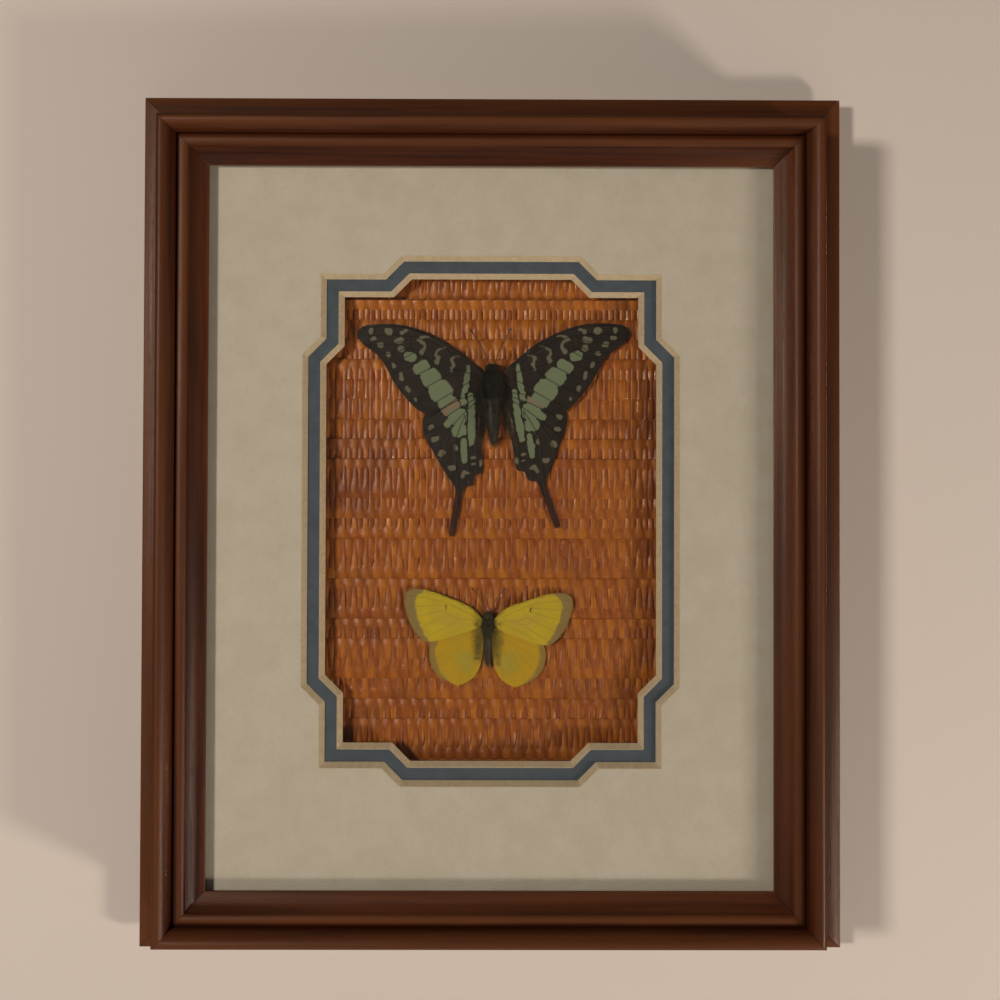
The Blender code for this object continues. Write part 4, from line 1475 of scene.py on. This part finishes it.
@dataclass(frozen=True)
class WingShape:
    """One kind of wing: its outline, its veins, its markings and how it arches."""

    outline: tuple[Point2, ...]
    veins: tuple[tuple[Point2, ...], ...]
    marks: tuple[Stroke | Patch, ...]
    arch: float = 0.35
    ripple: float = 0.12
    cell: float = 0.24
    thickness: float = 0.09
    vein_width: float = 0.3
    vein_height: float = 0.05

    def places(self) -> tuple[np.ndarray, list[tuple[int, ...]], list[tuple[int, int]]]:
        """Fill the outline with an even net.

        Returns:
            The wing places, the triangles, and the rim's edges in order round the outline.
        """
        rim = smooth_curve(self.outline, 16, True)
        evened = [Vector(rim[0])]
        for point in rim[1:]:
            if (Vector(point) - evened[-1]).length >= self.cell * 0.8:
                evened.append(Vector(point))
        ring = np.array([tuple(p) for p in evened])
        low, high = ring.min(0), ring.max(0)
        columns = np.arange(low[0], high[0], self.cell)
        rows = np.arange(low[1], high[1], self.cell * 0.866)
        net = np.array([
            (x + (0.5 * self.cell if order % 2 else 0.0), y) for order, y in enumerate(rows) for x in columns
        ])
        ahead = np.roll(ring, -1, axis=0)
        inside = np.zeros(len(net), bool)
        nearest = np.full(len(net), 1e9)
        for a, b in zip(ring, ahead):
            crosses = (a[1] > net[:, 1]) != (b[1] > net[:, 1])
            run = b - a
            with np.errstate(divide="ignore", invalid="ignore"):
                reach = a[0] + (net[:, 1] - a[1]) * run[0] / run[1]
            inside ^= crosses & (net[:, 0] < reach)
            t = np.clip((net - a) @ run / max(run @ run, 1e-12), 0, 1)
            nearest = np.minimum(nearest, np.linalg.norm(net - a - t[:, None] * run, axis=1))
        net = net[inside & (nearest > self.cell * 0.45)]
        points = [Vector(p) for p in np.concatenate([ring, net])]
        edges = [(i, (i + 1) % len(ring)) for i in range(len(ring))]
        verts, _, faces, _, _, _ = delaunay_2d_cdt(points, edges, [], 1, 1e-5)
        return np.array([tuple(v) for v in verts]), [tuple(face) for face in faces], edges

    def masks(self, places: np.ndarray, wobble: float) -> dict[Mark, np.ndarray]:
        """Work out every marking at every place.

        Args:
            places: The wing places.
            wobble: Shifts the small unevenness, so that left and right wings differ.

        Returns:
            For each marking, how far it covers each place.
        """
        bend = np.array([
            (
                noise.noise(Vector((u * 0.9, v * 0.9, wobble))),
                noise.noise(Vector((u * 0.9, v * 0.9, wobble + 9))),
            )
            for u, v in places
        ])
        bent = places + 0.35 * bend
        found = {mark: np.zeros(len(places)) for mark in Mark}
        for item in self.marks:
            found[item.mark] = np.maximum(found[item.mark], item.mask(bent))
        for vein in self.veins:
            line = Stroke(Mark.VEIN, tuple(smooth_curve(vein, 5, False)), (self.vein_width,), soft=0.3)
            found[Mark.VEIN] = np.maximum(found[Mark.VEIN], line.mask(places))
        return found

    def heights(self, places: np.ndarray, veins: np.ndarray, wobble: float) -> np.ndarray:
        """How far the wing's face stands up at each place, in millimetres."""
        high = places.max(0)
        out = np.clip(places[:, 0] / high[0], 0, 1)
        arched = self.arch * np.sin(np.pi * out) ** 0.8 * (0.7 + 0.3 * np.cos(places[:, 1] * 0.25))
        waves = np.array([noise.noise(Vector((u * 0.28, v * 0.28, wobble + 4))) for u, v in places])
        return arched + self.ripple * waves + self.vein_height * veins


@dataclass(frozen=True)
class Poise:
    """How one wing was set: turned clockwise in degrees, then moved right and up in millimetres."""

    turn: float
    right: float = 0.0
    up: float = 0.0


@dataclass
class Specimen:
    """One spread butterfly, dried and set: four wings, body, feelers and down."""

    layout: Layout
    name: str
    centre: Point2
    lean: float
    poises: dict[str, Poise]
    forewing: WingShape
    hindwing: WingShape
    fore_finish: WingScales
    hind_finish: WingScales
    body: tuple[Point2, ...]
    body_rise: float
    body_flatness: float
    feeler: tuple[Point2, ...]
    feeler_radius: float
    body_finish: Cuticle
    down_finish: Cuticle
    fringe_finish: Cuticle
    down_length: float = 1.1
    down_density: float = 5.0e7
    rings: int = 8
    sides: int = 36

    DOWN_SOCKETS = {
        "Geometry": "NodeSocketGeometry", "Density": "NodeSocketFloat", "Length": "NodeSocketFloat",
        "Thickness": "NodeSocketFloat", "Lay": "NodeSocketVector", "Lift": "NodeSocketFloat",
        "Seed": "NodeSocketInt", "Material": "NodeSocketMaterial",
    }

    def to_frame(self, side: int, along_y: float) -> Matrix:
        """The transform from wing millimetres (out, depth, towards the head) to the frame."""
        middle = self.layout.place(self.centre[0] * MM, 0, self.centre[1] * MM)
        middle.y = along_y
        size = Matrix.Diagonal((side * MM, MM, MM, 1))
        return Matrix.Translation(middle) @ Matrix.Rotation(math.radians(self.lean), 4, "Y") @ size

    def wing(self, kind: str, side_name: str) -> None:
        """Build one wing as a thin closed shell and lay its markings on it.

        Args:
            kind: "forewing" or "hindwing".
            side_name: "left" or "right".
        """
        shape = self.forewing if kind == "forewing" else self.hindwing
        finish = self.fore_finish if kind == "forewing" else self.hind_finish
        node = f"{self.name}_{kind}_{side_name}"
        side = -1 if side_name == "left" else 1
        wobble = 20.0 * side + len(kind) + len(self.name)
        places, faces, rim = shape.places()
        masks = shape.masks(places, wobble)
        heights = shape.heights(places, masks[Mark.VEIN], wobble)
        count = len(places)
        poise = self.poises[f"{kind}_{side_name}"]
        turn = math.radians(poise.turn)
        across, along = side * places[:, 0], places[:, 1]
        right = across * math.cos(turn) + along * math.sin(turn) + poise.right
        up = along * math.cos(turn) - across * math.sin(turn) + poise.up
        face = np.stack([right, -heights, up], axis=1)
        under = face + np.array((0, shape.thickness, 0))
        data = bpy.data.meshes.new(node)
        polygons = list(faces) + [tuple(i + count for i in reversed(f)) for f in faces]
        polygons += [(a, b, b + count, a + count) for a, b in rim]
        data.from_pydata([tuple(p) for p in np.concatenate([face, under])], [], polygons)
        for mark, values in masks.items():
            store(data, mark.value, np.concatenate([values, values]))
        data.transform(self.to_frame(1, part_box(node)[1].y))
        bm = bmesh.new()
        bm.from_mesh(data)
        bmesh.ops.recalc_face_normals(bm, faces=bm.faces)
        bm.to_mesh(data)
        bm.free()
        data.shade_smooth()
        data.set_sharp_from_angle(angle=math.radians(50))
        piece = stand(node + "_dried", data, [finish.build()])
        hand_in(piece, finish.slot, node)
        if masks[Mark.DOWN].max() > 0:
            self.down(node, data, Mark.DOWN.value, side, finish.slot)

    def body_mesh(self) -> bpy.types.Mesh:
        """Turn the body, ring its abdomen and swell its thorax."""
        outline = smooth_curve(self.body, 6, False)
        waist = next(v for r, v in self.body if v > -4 and r > 0)
        bm = bmesh.new()
        rings, fluff = [], []
        for radius, along in outline[1:-1]:
            ringed = along < waist
            wave = 1 + (0.07 * math.cos(along * math.tau * self.rings / 16) if ringed else 0.0)
            ring = []
            for k in range(self.sides):
                angle = k * math.tau / self.sides
                lump = 1 + 0.06 * noise.noise(Vector((math.cos(angle), math.sin(angle), along * 0.8)))
                x = radius * wave * lump * math.cos(angle)
                y = radius * wave * lump * math.sin(angle) * self.body_flatness - self.body_rise
                ring.append(bm.verts.new((x, y, along)))
                fluff.append(0.25 if ringed else 1.0)
            rings.append(ring)
        ends = [bm.verts.new((0, -self.body_rise, outline[end][1])) for end in (0, -1)]
        fluff += [0.3, 0.6]
        for k in range(self.sides):
            j = (k + 1) % self.sides
            bm.faces.new((ends[0], rings[0][j], rings[0][k]))
            bm.faces.new((ends[1], rings[-1][k], rings[-1][j]))
            for near, far in zip(rings, rings[1:]):
                bm.faces.new((near[k], near[j], far[j], far[k]))
        data = mesh_from(bm, self.name + "_body", 70)
        store(data, "fluff", np.array(fluff))
        return data

    def down(self, name: str, skin: bpy.types.Mesh, attribute: str, side: int, slot: str) -> None:
        """Cover part of a skin with short curved hairs.

        Args:
            name: The piece's name, to which _down is added.
            skin: The mesh that the hairs stand on.
            attribute: The attribute that says how thickly they stand.
            side: -1 or 1 where the hairs sweep outward on a wing, 0 on the body.
            slot: The material slot.
        """
        tree = bpy.data.node_groups.new("combed_down", "GeometryNodeTree")
        given = node_inputs(tree, self.DOWN_SOCKETS).outputs
        known = {socket.name: socket for socket in given if socket.name}
        known["thick"] = add_node(tree, "GeometryNodeInputNamedAttribute", {"Name": attribute},
                                  data_type="FLOAT").outputs[0]
        known["along"] = add_node(tree, "GeometryNodeSplineParameter").outputs[0]
        known["size"] = add_node(tree, "FunctionNodeRandomValue", {
            2: 0.55, 3: 1.15, "Seed": given["Seed"],
        }, data_type="FLOAT").outputs[1]
        work_out(
            tree, known, ("density", "MULTIPLY", "Density", "thick"), ("thin", "SUBTRACT", 1.0, "along"),
            ("taper", "ADD", "thin", 0.12), ("long", "MULTIPLY", "size", "Length"),
        )
        strewn = add_node(tree, "GeometryNodeDistributePointsOnFaces", {
            "Mesh": given["Geometry"], "Density": known["density"], "Seed": given["Seed"],
        })
        bow = add_node(tree, "GeometryNodeCurveQuadraticBezier", {
            "Resolution": 3, "Start": (0, 0, 0), "Middle": (0, 0.0, 0.55), "End": (0.18, 0.0, 1.0),
        })
        tapered = add_node(tree, "GeometryNodeSetCurveRadius", {
            "Curve": bow.outputs[0], "Radius": known["taper"],
        })
        ring = add_node(tree, "GeometryNodeCurvePrimitiveCircle", {
            "Resolution": 3, "Radius": given["Thickness"],
        })
        hair = add_node(tree, "GeometryNodeCurveToMesh", {
            "Curve": tapered.outputs[0], "Profile Curve": ring.outputs[0], "Fill Caps": True,
        })
        lifted = add_node(tree, "ShaderNodeVectorMath", {
            0: strewn.outputs["Normal"], "Scale": given["Lift"],
        }, operation="SCALE").outputs[0]
        stray = add_node(tree, "FunctionNodeRandomValue", {
            0: (-0.28, -0.28, -0.28), 1: (0.28, 0.28, 0.28), "Seed": given["Seed"],
        }, data_type="FLOAT_VECTOR").outputs[0]
        combed = given["Lay"]
        for push in (lifted, stray):
            combed = add_node(tree, "ShaderNodeVectorMath", {0: combed, 1: push}, operation="ADD").outputs[0]
        aim = add_node(tree, "FunctionNodeAlignRotationToVector", {"Vector": combed}, axis="Z")
        planted = add_node(tree, "GeometryNodeInstanceOnPoints", {
            "Points": strewn.outputs[0], "Instance": hair.outputs[0], "Rotation": aim.outputs[0],
            "Scale": known["long"],
        })
        real = add_node(tree, "GeometryNodeRealizeInstances", {0: planted.outputs[0]})
        dressed = add_node(tree, "GeometryNodeSetMaterial", {
            "Geometry": real.outputs[0], "Material": given["Material"],
        })
        add_node(tree, "NodeGroupOutput", {0: dressed.outputs[0]})
        material = (self.fringe_finish if side else self.down_finish).build()
        lay = (0.9 * side, 0.0, -0.5) if side else (0.0, 0.0, -0.8)
        data = grow(name + "_down", skin.copy(), tree, {
            "Density": self.down_density, "Length": self.down_length * MM, "Thickness": 0.028,
            "Lay": lay, "Lift": 0.25 if side else 0.7, "Seed": 5 + side, "Material": material,
        })
        hand_in(stand(name + "_down", data, [material]), slot)

    def torso(self) -> None:
        """Build the body with its eyes, and the down that covers it."""
        node = self.name + "_body"
        data = self.body_mesh()
        place = self.to_frame(1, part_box(f"{self.name}_hindwing_left")[1].y + 0.3 * MM)
        bm = bmesh.new()
        bm.from_mesh(data)
        head = self.body[-2]
        for sign in (-1, 1):
            eye = bmesh.ops.create_uvsphere(bm, u_segments=18, v_segments=12, radius=head[0] * 0.62)["verts"]
            for vert in eye:
                vert.co += Vector((sign * head[0] * 0.85, -self.body_rise - head[0] * 0.2, head[1] - 0.5))
        bm.to_mesh(data)
        bm.free()
        data.transform(place)
        data.shade_smooth()
        hand_in(stand(node + "_dried", data, [self.body_finish.build()]), self.body_finish.slot, node)
        self.down(node, data, "fluff", 0, self.down_finish.slot)

    def feelers(self) -> None:
        """Build both feelers: a thin stalk, jointed, that swells to a club."""
        place_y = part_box(f"{self.name}_hindwing_left")[1].y + 0.3 * MM
        line = [Vector((out, -self.body_rise, along)) for out, along in smooth_curve(self.feeler, 12, False)]
        radii = []
        for i in range(len(line)):
            share = i / (len(line) - 1)
            club = 1 + 1.5 * max(0.0, (share - 0.8) / 0.2) * (1.0 if share < 0.97 else 0.7)
            radii.append(self.feeler_radius * club * (1 + 0.12 * (i % 2)))
        for side_name, side in (("left", -1), ("right", 1)):
            node = f"{self.name}_feeler_{side_name}"
            data = mesh_from(tube(line, radii, 8), node, 60)
            data.transform(self.to_frame(side, place_y))
            if side < 0:
                data.flip_normals()
            hand_in(stand(node + "_dried", data, [self.body_finish.build()]), self.body_finish.slot, node)

    def build(self) -> None:
        """Build the whole butterfly."""
        for side_name in ("left", "right"):
            self.wing("hindwing", side_name)
            self.wing("forewing", side_name)
        self.torso()
        self.feelers()


def swordtail(layout: Layout) -> Specimen:
    """The large dark specimen with green bands and long tails.

    Args:
        layout: Where the frame stands.

    Returns:
        The specimen, ready to build.
    """
    band, spot, pale, down = Mark.BAND, Mark.SPOT, Mark.PALE, Mark.DOWN
    forewing = WingShape(
        outline=(
            (4.2, 2.6), (7.3, 5.6), (14.8, 11.7), (26.1, 16.5), (36.8, 16.9), (40.0, 14.6),
            (38.3, 11.4), (33.2, 6.8), (28.2, -2.1), (20.6, -9.2), (11.0, -4.6), (4.0, -0.6),
        ),
        veins=(
            ((4.4, 2.6), (10.0, 7.3), (17.2, 12.2), (26.2, 15.7), (36.6, 16.2)),
            ((4.4, 2.2), (11.0, 6.7), (18.0, 11.0), (24.2, 13.0), (31.5, 13.7), (39.2, 13.6)),
            ((4.3, 1.6), (11.6, 2.9), (17.2, 4.8), (20.2, 6.8), (23.6, 8.6), (24.9, 10.6), (24.4, 12.8)),
            ((24.6, 12.4), (30.8, 11.2), (37.2, 10.9)), ((24.9, 10.6), (29.6, 8.6), (34.8, 8.4)),
            ((23.6, 8.6), (28.0, 6.4), (32.3, 5.3)), ((20.2, 6.8), (24.6, 4.8), (30.5, 2.2)),
            ((17.2, 4.8), (22.9, 2.0), (28.8, -0.9)), ((11.6, 2.9), (16.0, 0.7), (20.9, -1.9), (26.4, -4.4)),
            ((4.2, 1.0), (9.0, -1.0), (15.5, -4.8), (22.2, -8.0)),
        ),
        marks=(
            Patch(spot, (35.9, 15.3), (1.3, 1.9), 10), Patch(spot, (35.4, 13.0), (1.7, 1.2)),
            Patch(spot, (33.3, 11.0), (2.0, 1.6)), Patch(spot, (31.1, 8.3), (1.5, 1.5)),
            Patch(spot, (29.6, 5.0), (1.9, 1.2), 70), Patch(spot, (27.5, 1.7), (2.5, 1.3), 85),
            Patch(spot, (25.7, -2.1), (1.9, 1.1), 70), Patch(spot, (23.5, -5.1), (1.2, 0.8), 60),
            Patch(spot, (30.8, 14.9), (2.3, 2.1), 20), Stroke(spot, ((25.4, 15.3), (27.0, 14.4)), (0.7, 1.2)),
            Patch(spot, (27.9, 12.2), (2.9, 1.8), -8), Patch(spot, (27.3, 9.7), (2.0, 1.7)),
            Stroke(spot, ((19.1, 12.9), (20.6, 13.1), (22.3, 12.2)), (0.6, 0.8, 1.1)),
            Stroke(spot, ((22.3, 12.2), (20.8, 11.2), (20.4, 9.9), (21.4, 8.6)), (0.9, 0.8, 0.8, 1.6)),
            Stroke(spot, ((14.3, 9.9), (15.8, 9.4), (17.1, 8.8), (17.4, 7.7)), (0.3, 0.5, 0.8, 0.8)),
            Stroke(spot, ((17.4, 7.7), (16.6, 6.7), (17.2, 5.6)), (0.8, 1.0, 1.3)),
            Stroke(spot, ((10.6, 7.2), (11.8, 7.0), (12.8, 6.5), (12.6, 5.5)), (0.3, 0.5, 0.9, 0.8)),
            Stroke(spot, ((12.6, 5.5), (12.1, 4.6), (13.1, 3.0)), (0.8, 0.9, 0.6)),
            Patch(band, (24.8, 7.3), (3.8, 2.8), 19), Patch(band, (21.6, 4.2), (4.9, 3.7), -32),
            Patch(band, (19.0, 1.1), (5.7, 4.6), -34, 3.4), Patch(band, (16.2, -2.9), (6.6, 5.8), -38, 3.4),
            Patch(band, (14.6, -5.9), (5.4, 3.2), -28, 3.0),
            Stroke(band, ((7.8, 4.3), (8.3, 1.8), (8.9, -1.8), (9.6, -5.0)), (1.0, 1.5, 1.8, 1.4)),
            Patch(down, (4.6, 0.8), (3.0, 3.6), 0, 2.0, 1.2, 0.5),
        ),
        arch=0.42,
    )
    hindwing = WingShape(
        outline=(
            (3.6, -1.6), (12.0, -4.0), (20.4, -8.4), (21.4, -14.8), (18.7, -20.9), (15.6, -27.0),
            (13.2, -31.4), (14.5, -38.2), (15.7, -43.8), (14.9, -44.9), (13.9, -44.2), (12.2, -37.4),
            (10.7, -31.4), (8.2, -30.3), (7.2, -27.7), (5.0, -26.3), (4.7, -19.0), (3.4, -12.4),
            (2.9, -6.4),
        ),
        veins=(
            ((4.4, -4.0), (11.5, -5.8), (19.9, -10.4)), ((5.0, -5.0), (12.8, -9.0), (20.9, -15.2)),
            ((5.6, -6.0), (12.8, -12.6), (19.0, -19.4)), ((12.8, -12.6), (15.6, -19.0), (17.2, -23.6)),
            ((9.2, -10.0), (12.4, -17.6), (12.6, -25.0), (12.4, -31.0), (13.2, -37.4), (14.7, -44.0)),
            ((9.2, -10.0), (8.9, -17.0), (9.0, -24.0), (8.8, -29.8)),
            ((5.8, -6.4), (6.3, -14.0), (6.4, -21.0), (6.6, -26.6)),
        ),
        marks=(
            Patch(pale, (13.4, -7.4), (5.8, 4.6), -22, 2.8), Patch(band, (11.4, -10.4), (5.4, 4.8), 0, 2.6),
            Patch(band, (11.1, -14.4), (3.7, 4.6), 80), Patch(band, (14.4, -12.2), (2.2, 2.4), 40),
            Stroke(band, ((9.6, -4.6), (9.4, -6.4)), (1.4, 1.8)),
            Stroke(band, ((7.3, -4.3), (7.3, -10.4), (7.5, -15.0), (7.8, -18.2)), (1.5, 1.9, 2.3, 1.5)),
            Stroke(band, ((10.0, -17.4), (10.1, -20.5), (10.1, -23.4)), (1.5, 2.1, 1.4)),
            Patch(spot, (12.4, -19.4), (2.0, 1.2), 80), Patch(spot, (19.3, -13.0), (1.8, 1.4), -30),
            Patch(spot, (18.3, -16.6), (2.4, 1.5), -15), Patch(spot, (16.7, -20.7), (2.4, 1.7), -45),
            Patch(spot, (13.8, -25.1), (2.2, 1.5)),
            Stroke(spot, ((9.2, -26.9), (10.3, -26.6), (11.1, -28.0)), (1.0, 1.4, 0.9)),
            Patch(spot, (7.6, -22.6), (1.6, 0.9)), Patch(spot, (7.4, -24.4), (1.3, 0.5)),
            Patch(spot, (5.4, -24.2), (0.8, 2.0)),
            Stroke(pale, ((4.0, -5.4), (4.3, -8.6), (5.3, -12.2), (5.5, -16.0)),
                   (0.4, 0.5, 0.6, 0.3), 0.2, 0.9),
            Stroke(Mark.BORDER, ((12.8, -33.0), (13.4, -38.6), (14.8, -44.4)), (0.8, 2.2, 2.4), 2.0),
            Stroke(down, ((3.2, -3.0), (3.2, -9.0), (4.0, -14.0), (5.0, -19.0)), (3.4, 3.0, 2.2, 0.8), 0.8),
        ),
        arch=0.3,
    )
    scales = dict(
        ground="100A05", drift="1C1109", sheen=0.06,
        layers=(
            (Mark.BORDER, "3C180D", 0.9), (Mark.PALE, "8E7F69", 1.0), (Mark.BAND, "7C8C6E", 1.0),
            (Mark.SPOT, "767562", 0.95), (Mark.DOWN, "3A2E20", 0.6), (Mark.VEIN, "120D08", 0.75),
        ),
    )
    return Specimen(
        layout, "swordtail", (0.2, 40.0), -1.5, {
            "forewing_left": Poise(-0.2, 1.2, 1.8), "forewing_right": Poise(3.1, -0.5, 2.2),
            "hindwing_left": Poise(-1.8, 0.8, 2.1), "hindwing_right": Poise(-5.7, -1.2, 1.7),
        }, forewing, hindwing,
        WingScales("swordtail_forewing_scales_dried", "swordtail_wing", 0.62, **scales),
        WingScales("swordtail_hindwing_scales_dried", "swordtail_wing", 0.62, **scales),
        body=(
            (0.0, -16.8), (0.7, -16.3), (1.5, -12.6), (1.8, -8.4), (1.6, -5.0), (2.2, -3.4), (2.6, 0.0),
            (2.4, 3.0), (1.3, 4.4), (1.4, 5.2), (1.1, 6.1), (0.0, 6.5),
        ),
        body_rise=2.3, body_flatness=0.85,
        feeler=((0.9, 6.4), (2.3, 10.2), (4.2, 13.8), (6.0, 16.6)), feeler_radius=0.13,
        body_finish=Cuticle("swordtail_cuticle_dried", "insect_body", 0.5, base="0E0F0A", tip="241D14"),
        fringe_finish=Cuticle("swordtail_wing_hair_dried", "swordtail_wing", 0.65,
                              base="2C2118", tip="54432F"),
        down_finish=Cuticle("swordtail_down_dried", "insect_body", 0.6, base="10150F", tip="332B1E"),
    )


def sulphur(layout: Layout) -> Specimen:
    """The small yellow specimen with faded borders.

    Args:
        layout: Where the frame stands.

    Returns:
        The specimen, ready to build.
    """
    border, dot, pale, down = Mark.BORDER, Mark.DOT, Mark.PALE, Mark.DOWN
    forewing = WingShape(
        outline=(
            (1.9, 1.7), (5.3, 5.1), (11.5, 7.9), (17.8, 10.0), (22.6, 10.1), (24.0, 7.0),
            (22.6, 0.6), (19.4, -4.0), (16.2, -4.9), (6.7, -2.5), (2.0, -0.4),
        ),
        veins=(
            ((2.2, 1.5), (7.0, 5.2), (13.0, 7.9), (20.0, 9.7)),
            ((2.2, 1.2), (8.0, 4.2), (12.0, 6.0), (17.5, 7.6), (23.2, 8.0)),
            ((12.6, 5.4), (17.5, 5.4), (23.3, 4.9)), ((12.5, 4.2), (17.2, 3.0), (22.6, 1.8)),
            ((11.0, 2.6), (15.8, 0.6), (21.4, -1.6)), ((8.0, 1.4), (12.6, -1.2), (18.8, -3.9)),
            ((2.2, 0.6), (7.5, -1.0), (14.5, -4.0)),
            ((2.2, 1.0), (8.0, 1.4), (11.0, 2.6), (12.5, 4.2), (12.6, 5.4), (12.0, 6.0)),
        ),
        marks=(
            Stroke(border, ((19.6, 10.6), (23.6, 9.6), (24.0, 7.0), (22.8, 1.6), (20.4, -3.2), (17.4, -5.2)),
                   (2.6, 6.6, 5.6, 4.6, 3.8, 1.0), 1.5),
            Stroke(dot, ((2.2, 2.0), (5.4, 5.1), (11.5, 7.9), (18.5, 10.1)),
                   (0.3, 0.35, 0.35, 0.2), 0.3, 0.75),
            Stroke(dot, ((12.2, 5.4), (12.0, 4.5)), (0.5, 0.35), 0.3),
            Patch(pale, (11.0, 1.6), (12.0, 5.0), 12, 2.0, 2.4, 0.55),
            Patch(down, (2.4, 0.4), (2.2, 2.2), 0, 2.0, 1.0, 0.25),
        ),
        arch=0.3, ripple=0.1, thickness=0.07,
    )
    hindwing = WingShape(
        outline=(
            (2.0, -1.4), (9.0, -2.6), (15.8, -4.6), (17.2, -9.5), (15.2, -14.4), (10.6, -17.2),
            (8.0, -17.6), (4.0, -15.0), (1.9, -9.7),
        ),
        veins=(
            ((2.4, -2.4), (9.0, -4.4), (16.2, -6.8)), ((6.0, -4.4), (11.0, -7.4), (16.8, -10.8)),
            ((8.0, -6.4), (11.6, -10.2), (15.4, -13.8)), ((7.0, -7.6), (9.8, -12.2), (12.0, -16.2)),
            ((5.0, -7.0), (7.4, -12.2), (8.6, -17.0)), ((2.8, -4.0), (4.4, -9.6), (5.2, -15.4)),
        ),
        marks=(
            Stroke(border, ((16.0, -4.2), (17.3, -8.0), (17.0, -10.4), (15.2, -14.6), (11.6, -17.2)),
                   (2.8, 3.4, 3.2, 2.6, 0.8), 1.3),
            Patch(dot, (1.9, -8.0), (5.8, 15.0), 0, 2.2, 3.4, 0.42),
            Patch(pale, (6.6, -11.0), (7.0, 9.0), -20, 2.0, 3.6, 0.6),
            Stroke(down, ((2.4, -2.0), (2.8, -6.0), (3.0, -11.0)), (3.0, 2.4, 0.8), 1.6, 0.35),
        ),
        arch=0.25, ripple=0.1, thickness=0.07,
    )
    fore = (
        (pale, "CBB24C", 0.8), (Mark.VEIN, "BBA636", 0.45), (border, "8E7A52", 0.9), (dot, "4A3A1C", 0.95),
        (down, "8F8C4E", 0.4),
    )
    hind = (
        (pale, "B2A940", 0.9), (Mark.VEIN, "B29E32", 0.35), (border, "957F4A", 0.85), (dot, "8A8A50", 0.95),
        (down, "85854E", 0.6),
    )
    return Specimen(
        layout, "sulphur", (-0.8, -29.3), 0.6, {
            "forewing_left": Poise(-1.3, 0.0, 0.4), "forewing_right": Poise(3.3, 0.0, 0.4),
            "hindwing_left": Poise(-1.8, 0.0, 0.5), "hindwing_right": Poise(2.4, 0.0, 0.3),
        }, forewing, hindwing,
        WingScales("sulphur_forewing_scales_dried", "sulphur_wing", 0.6, ground="DAC32A", drift="CDB636",
                   layers=fore),
        WingScales("sulphur_hindwing_scales_dried", "sulphur_wing", 0.6, ground="D4AC1E", drift="C8A826",
                   layers=hind),
        body=(
            (0.0, -11.6), (0.5, -11.0), (0.8, -8.0), (0.9, -4.6), (0.8, -2.8), (1.2, -1.6), (1.4, 0.0),
            (1.2, 1.8), (0.7, 2.6), (0.9, 3.2), (0.6, 3.9), (0.0, 4.1),
        ),
        body_rise=1.4, body_flatness=0.9,
        feeler=((0.6, 4.1), (1.8, 6.9), (3.4, 9.2), (4.9, 10.9)), feeler_radius=0.1,
        body_finish=Cuticle("sulphur_cuticle_dried", "insect_body", 0.55, base="221D14", tip="3C3524"),
        fringe_finish=Cuticle("sulphur_wing_hair_dried", "sulphur_wing", 0.65, base="5E5A36", tip="A39B58"),
        down_finish=Cuticle("sulphur_down_dried", "insect_body", 0.65, base="2A281C", tip="6A6546"),
        down_length=0.9, down_density=7.0e7,
    )


# ---------------------------------------------------------------- the whole

def main() -> None:
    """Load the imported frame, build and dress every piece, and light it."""
    logging.basicConfig(level=logging.INFO, format="%(name)s: %(message)s")
    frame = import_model()
    layout = Layout.from_frame()

    Moulding(layout, StainedWood("mahogany_stained_wood_lacquered", "stained_wood", 0.42)).build()
    Glazing(ClearGlass("soda_lime_glass_drawn", "glass", 0.0)).build()
    pulp = SheetStock("mat_pulp_core_bevel_cut", "cream_mat", 0.95, base="E6D6B8", cloud="D9C8A6",
                      fleck="9A835C", cloud_size=1.5 * MM, fleck_size=(0.5 * MM, 0.35 * MM),
                      fleck_share=0.5, tooth_height=0.12 * MM)
    cream = SheetStock("cream_mat_paper_laid", "cream_mat", 0.92)
    blue = SheetStock("slate_blue_mat_paper_dyed", "blue_mat", 0.9, base="566472", cloud="4B5865",
                      fleck="6A7884", cloud_size=4 * MM)
    MatBoard(layout, "top_mat", cream, pulp).build()
    MatBoard(layout, "under_mat", blue, pulp, inset=4.9 * MM).build()
    WovenPanel(
        layout,
        PlantFibre("rush_uprights_stained_woven", "woven_fibre", 0.36),
        PlantFibre("rush_flats_stained_woven", "woven_fibre", 0.42, across_x=False),
    ).build()
    Back(
        layout,
        kraft=SheetStock("kraft_paper_unbleached", "kraft_paper", 0.9, base="B98F62", cloud="B4895C",
                         fleck="8D6743", cloud_size=12 * MM, fleck_size=(3 * MM, 0.4 * MM)),
        brassed=PlatedSteel("brass_plated_steel_stamped", "brassed_steel", 0.28,
                            plating="D9B96A", dull="9A7B3C"),
        steel=PlatedSteel("bright_steel_drawn", "zinc_steel", 0.25),
        zinc=PlatedSteel("zinc_plated_steel_sheet", "zinc_steel", 0.35),
        rubber=SheetStock("black_rubber_moulded", "rubber", 0.7, base="26262A", cloud="1E1E21",
                          fleck="34343A", cloud_size=3 * MM),
        foam=SheetStock("foam_board_paper_faced", "foam_board", 0.85, base="ECE9E0", cloud="E0DCD0",
                        fleck="C9C3B2"),
        hardboard=SheetStock("hardboard_pressed", "hardboard", 0.8, base="6E4A30", cloud="573822",
                             fleck="8C6647", fleck_share=0.5),
    ).build(frame["nodes"])
    swordtail(layout).build()
    sulphur(layout).build()
    Studio(layout).build()


if __name__ == "__main__":
    main()
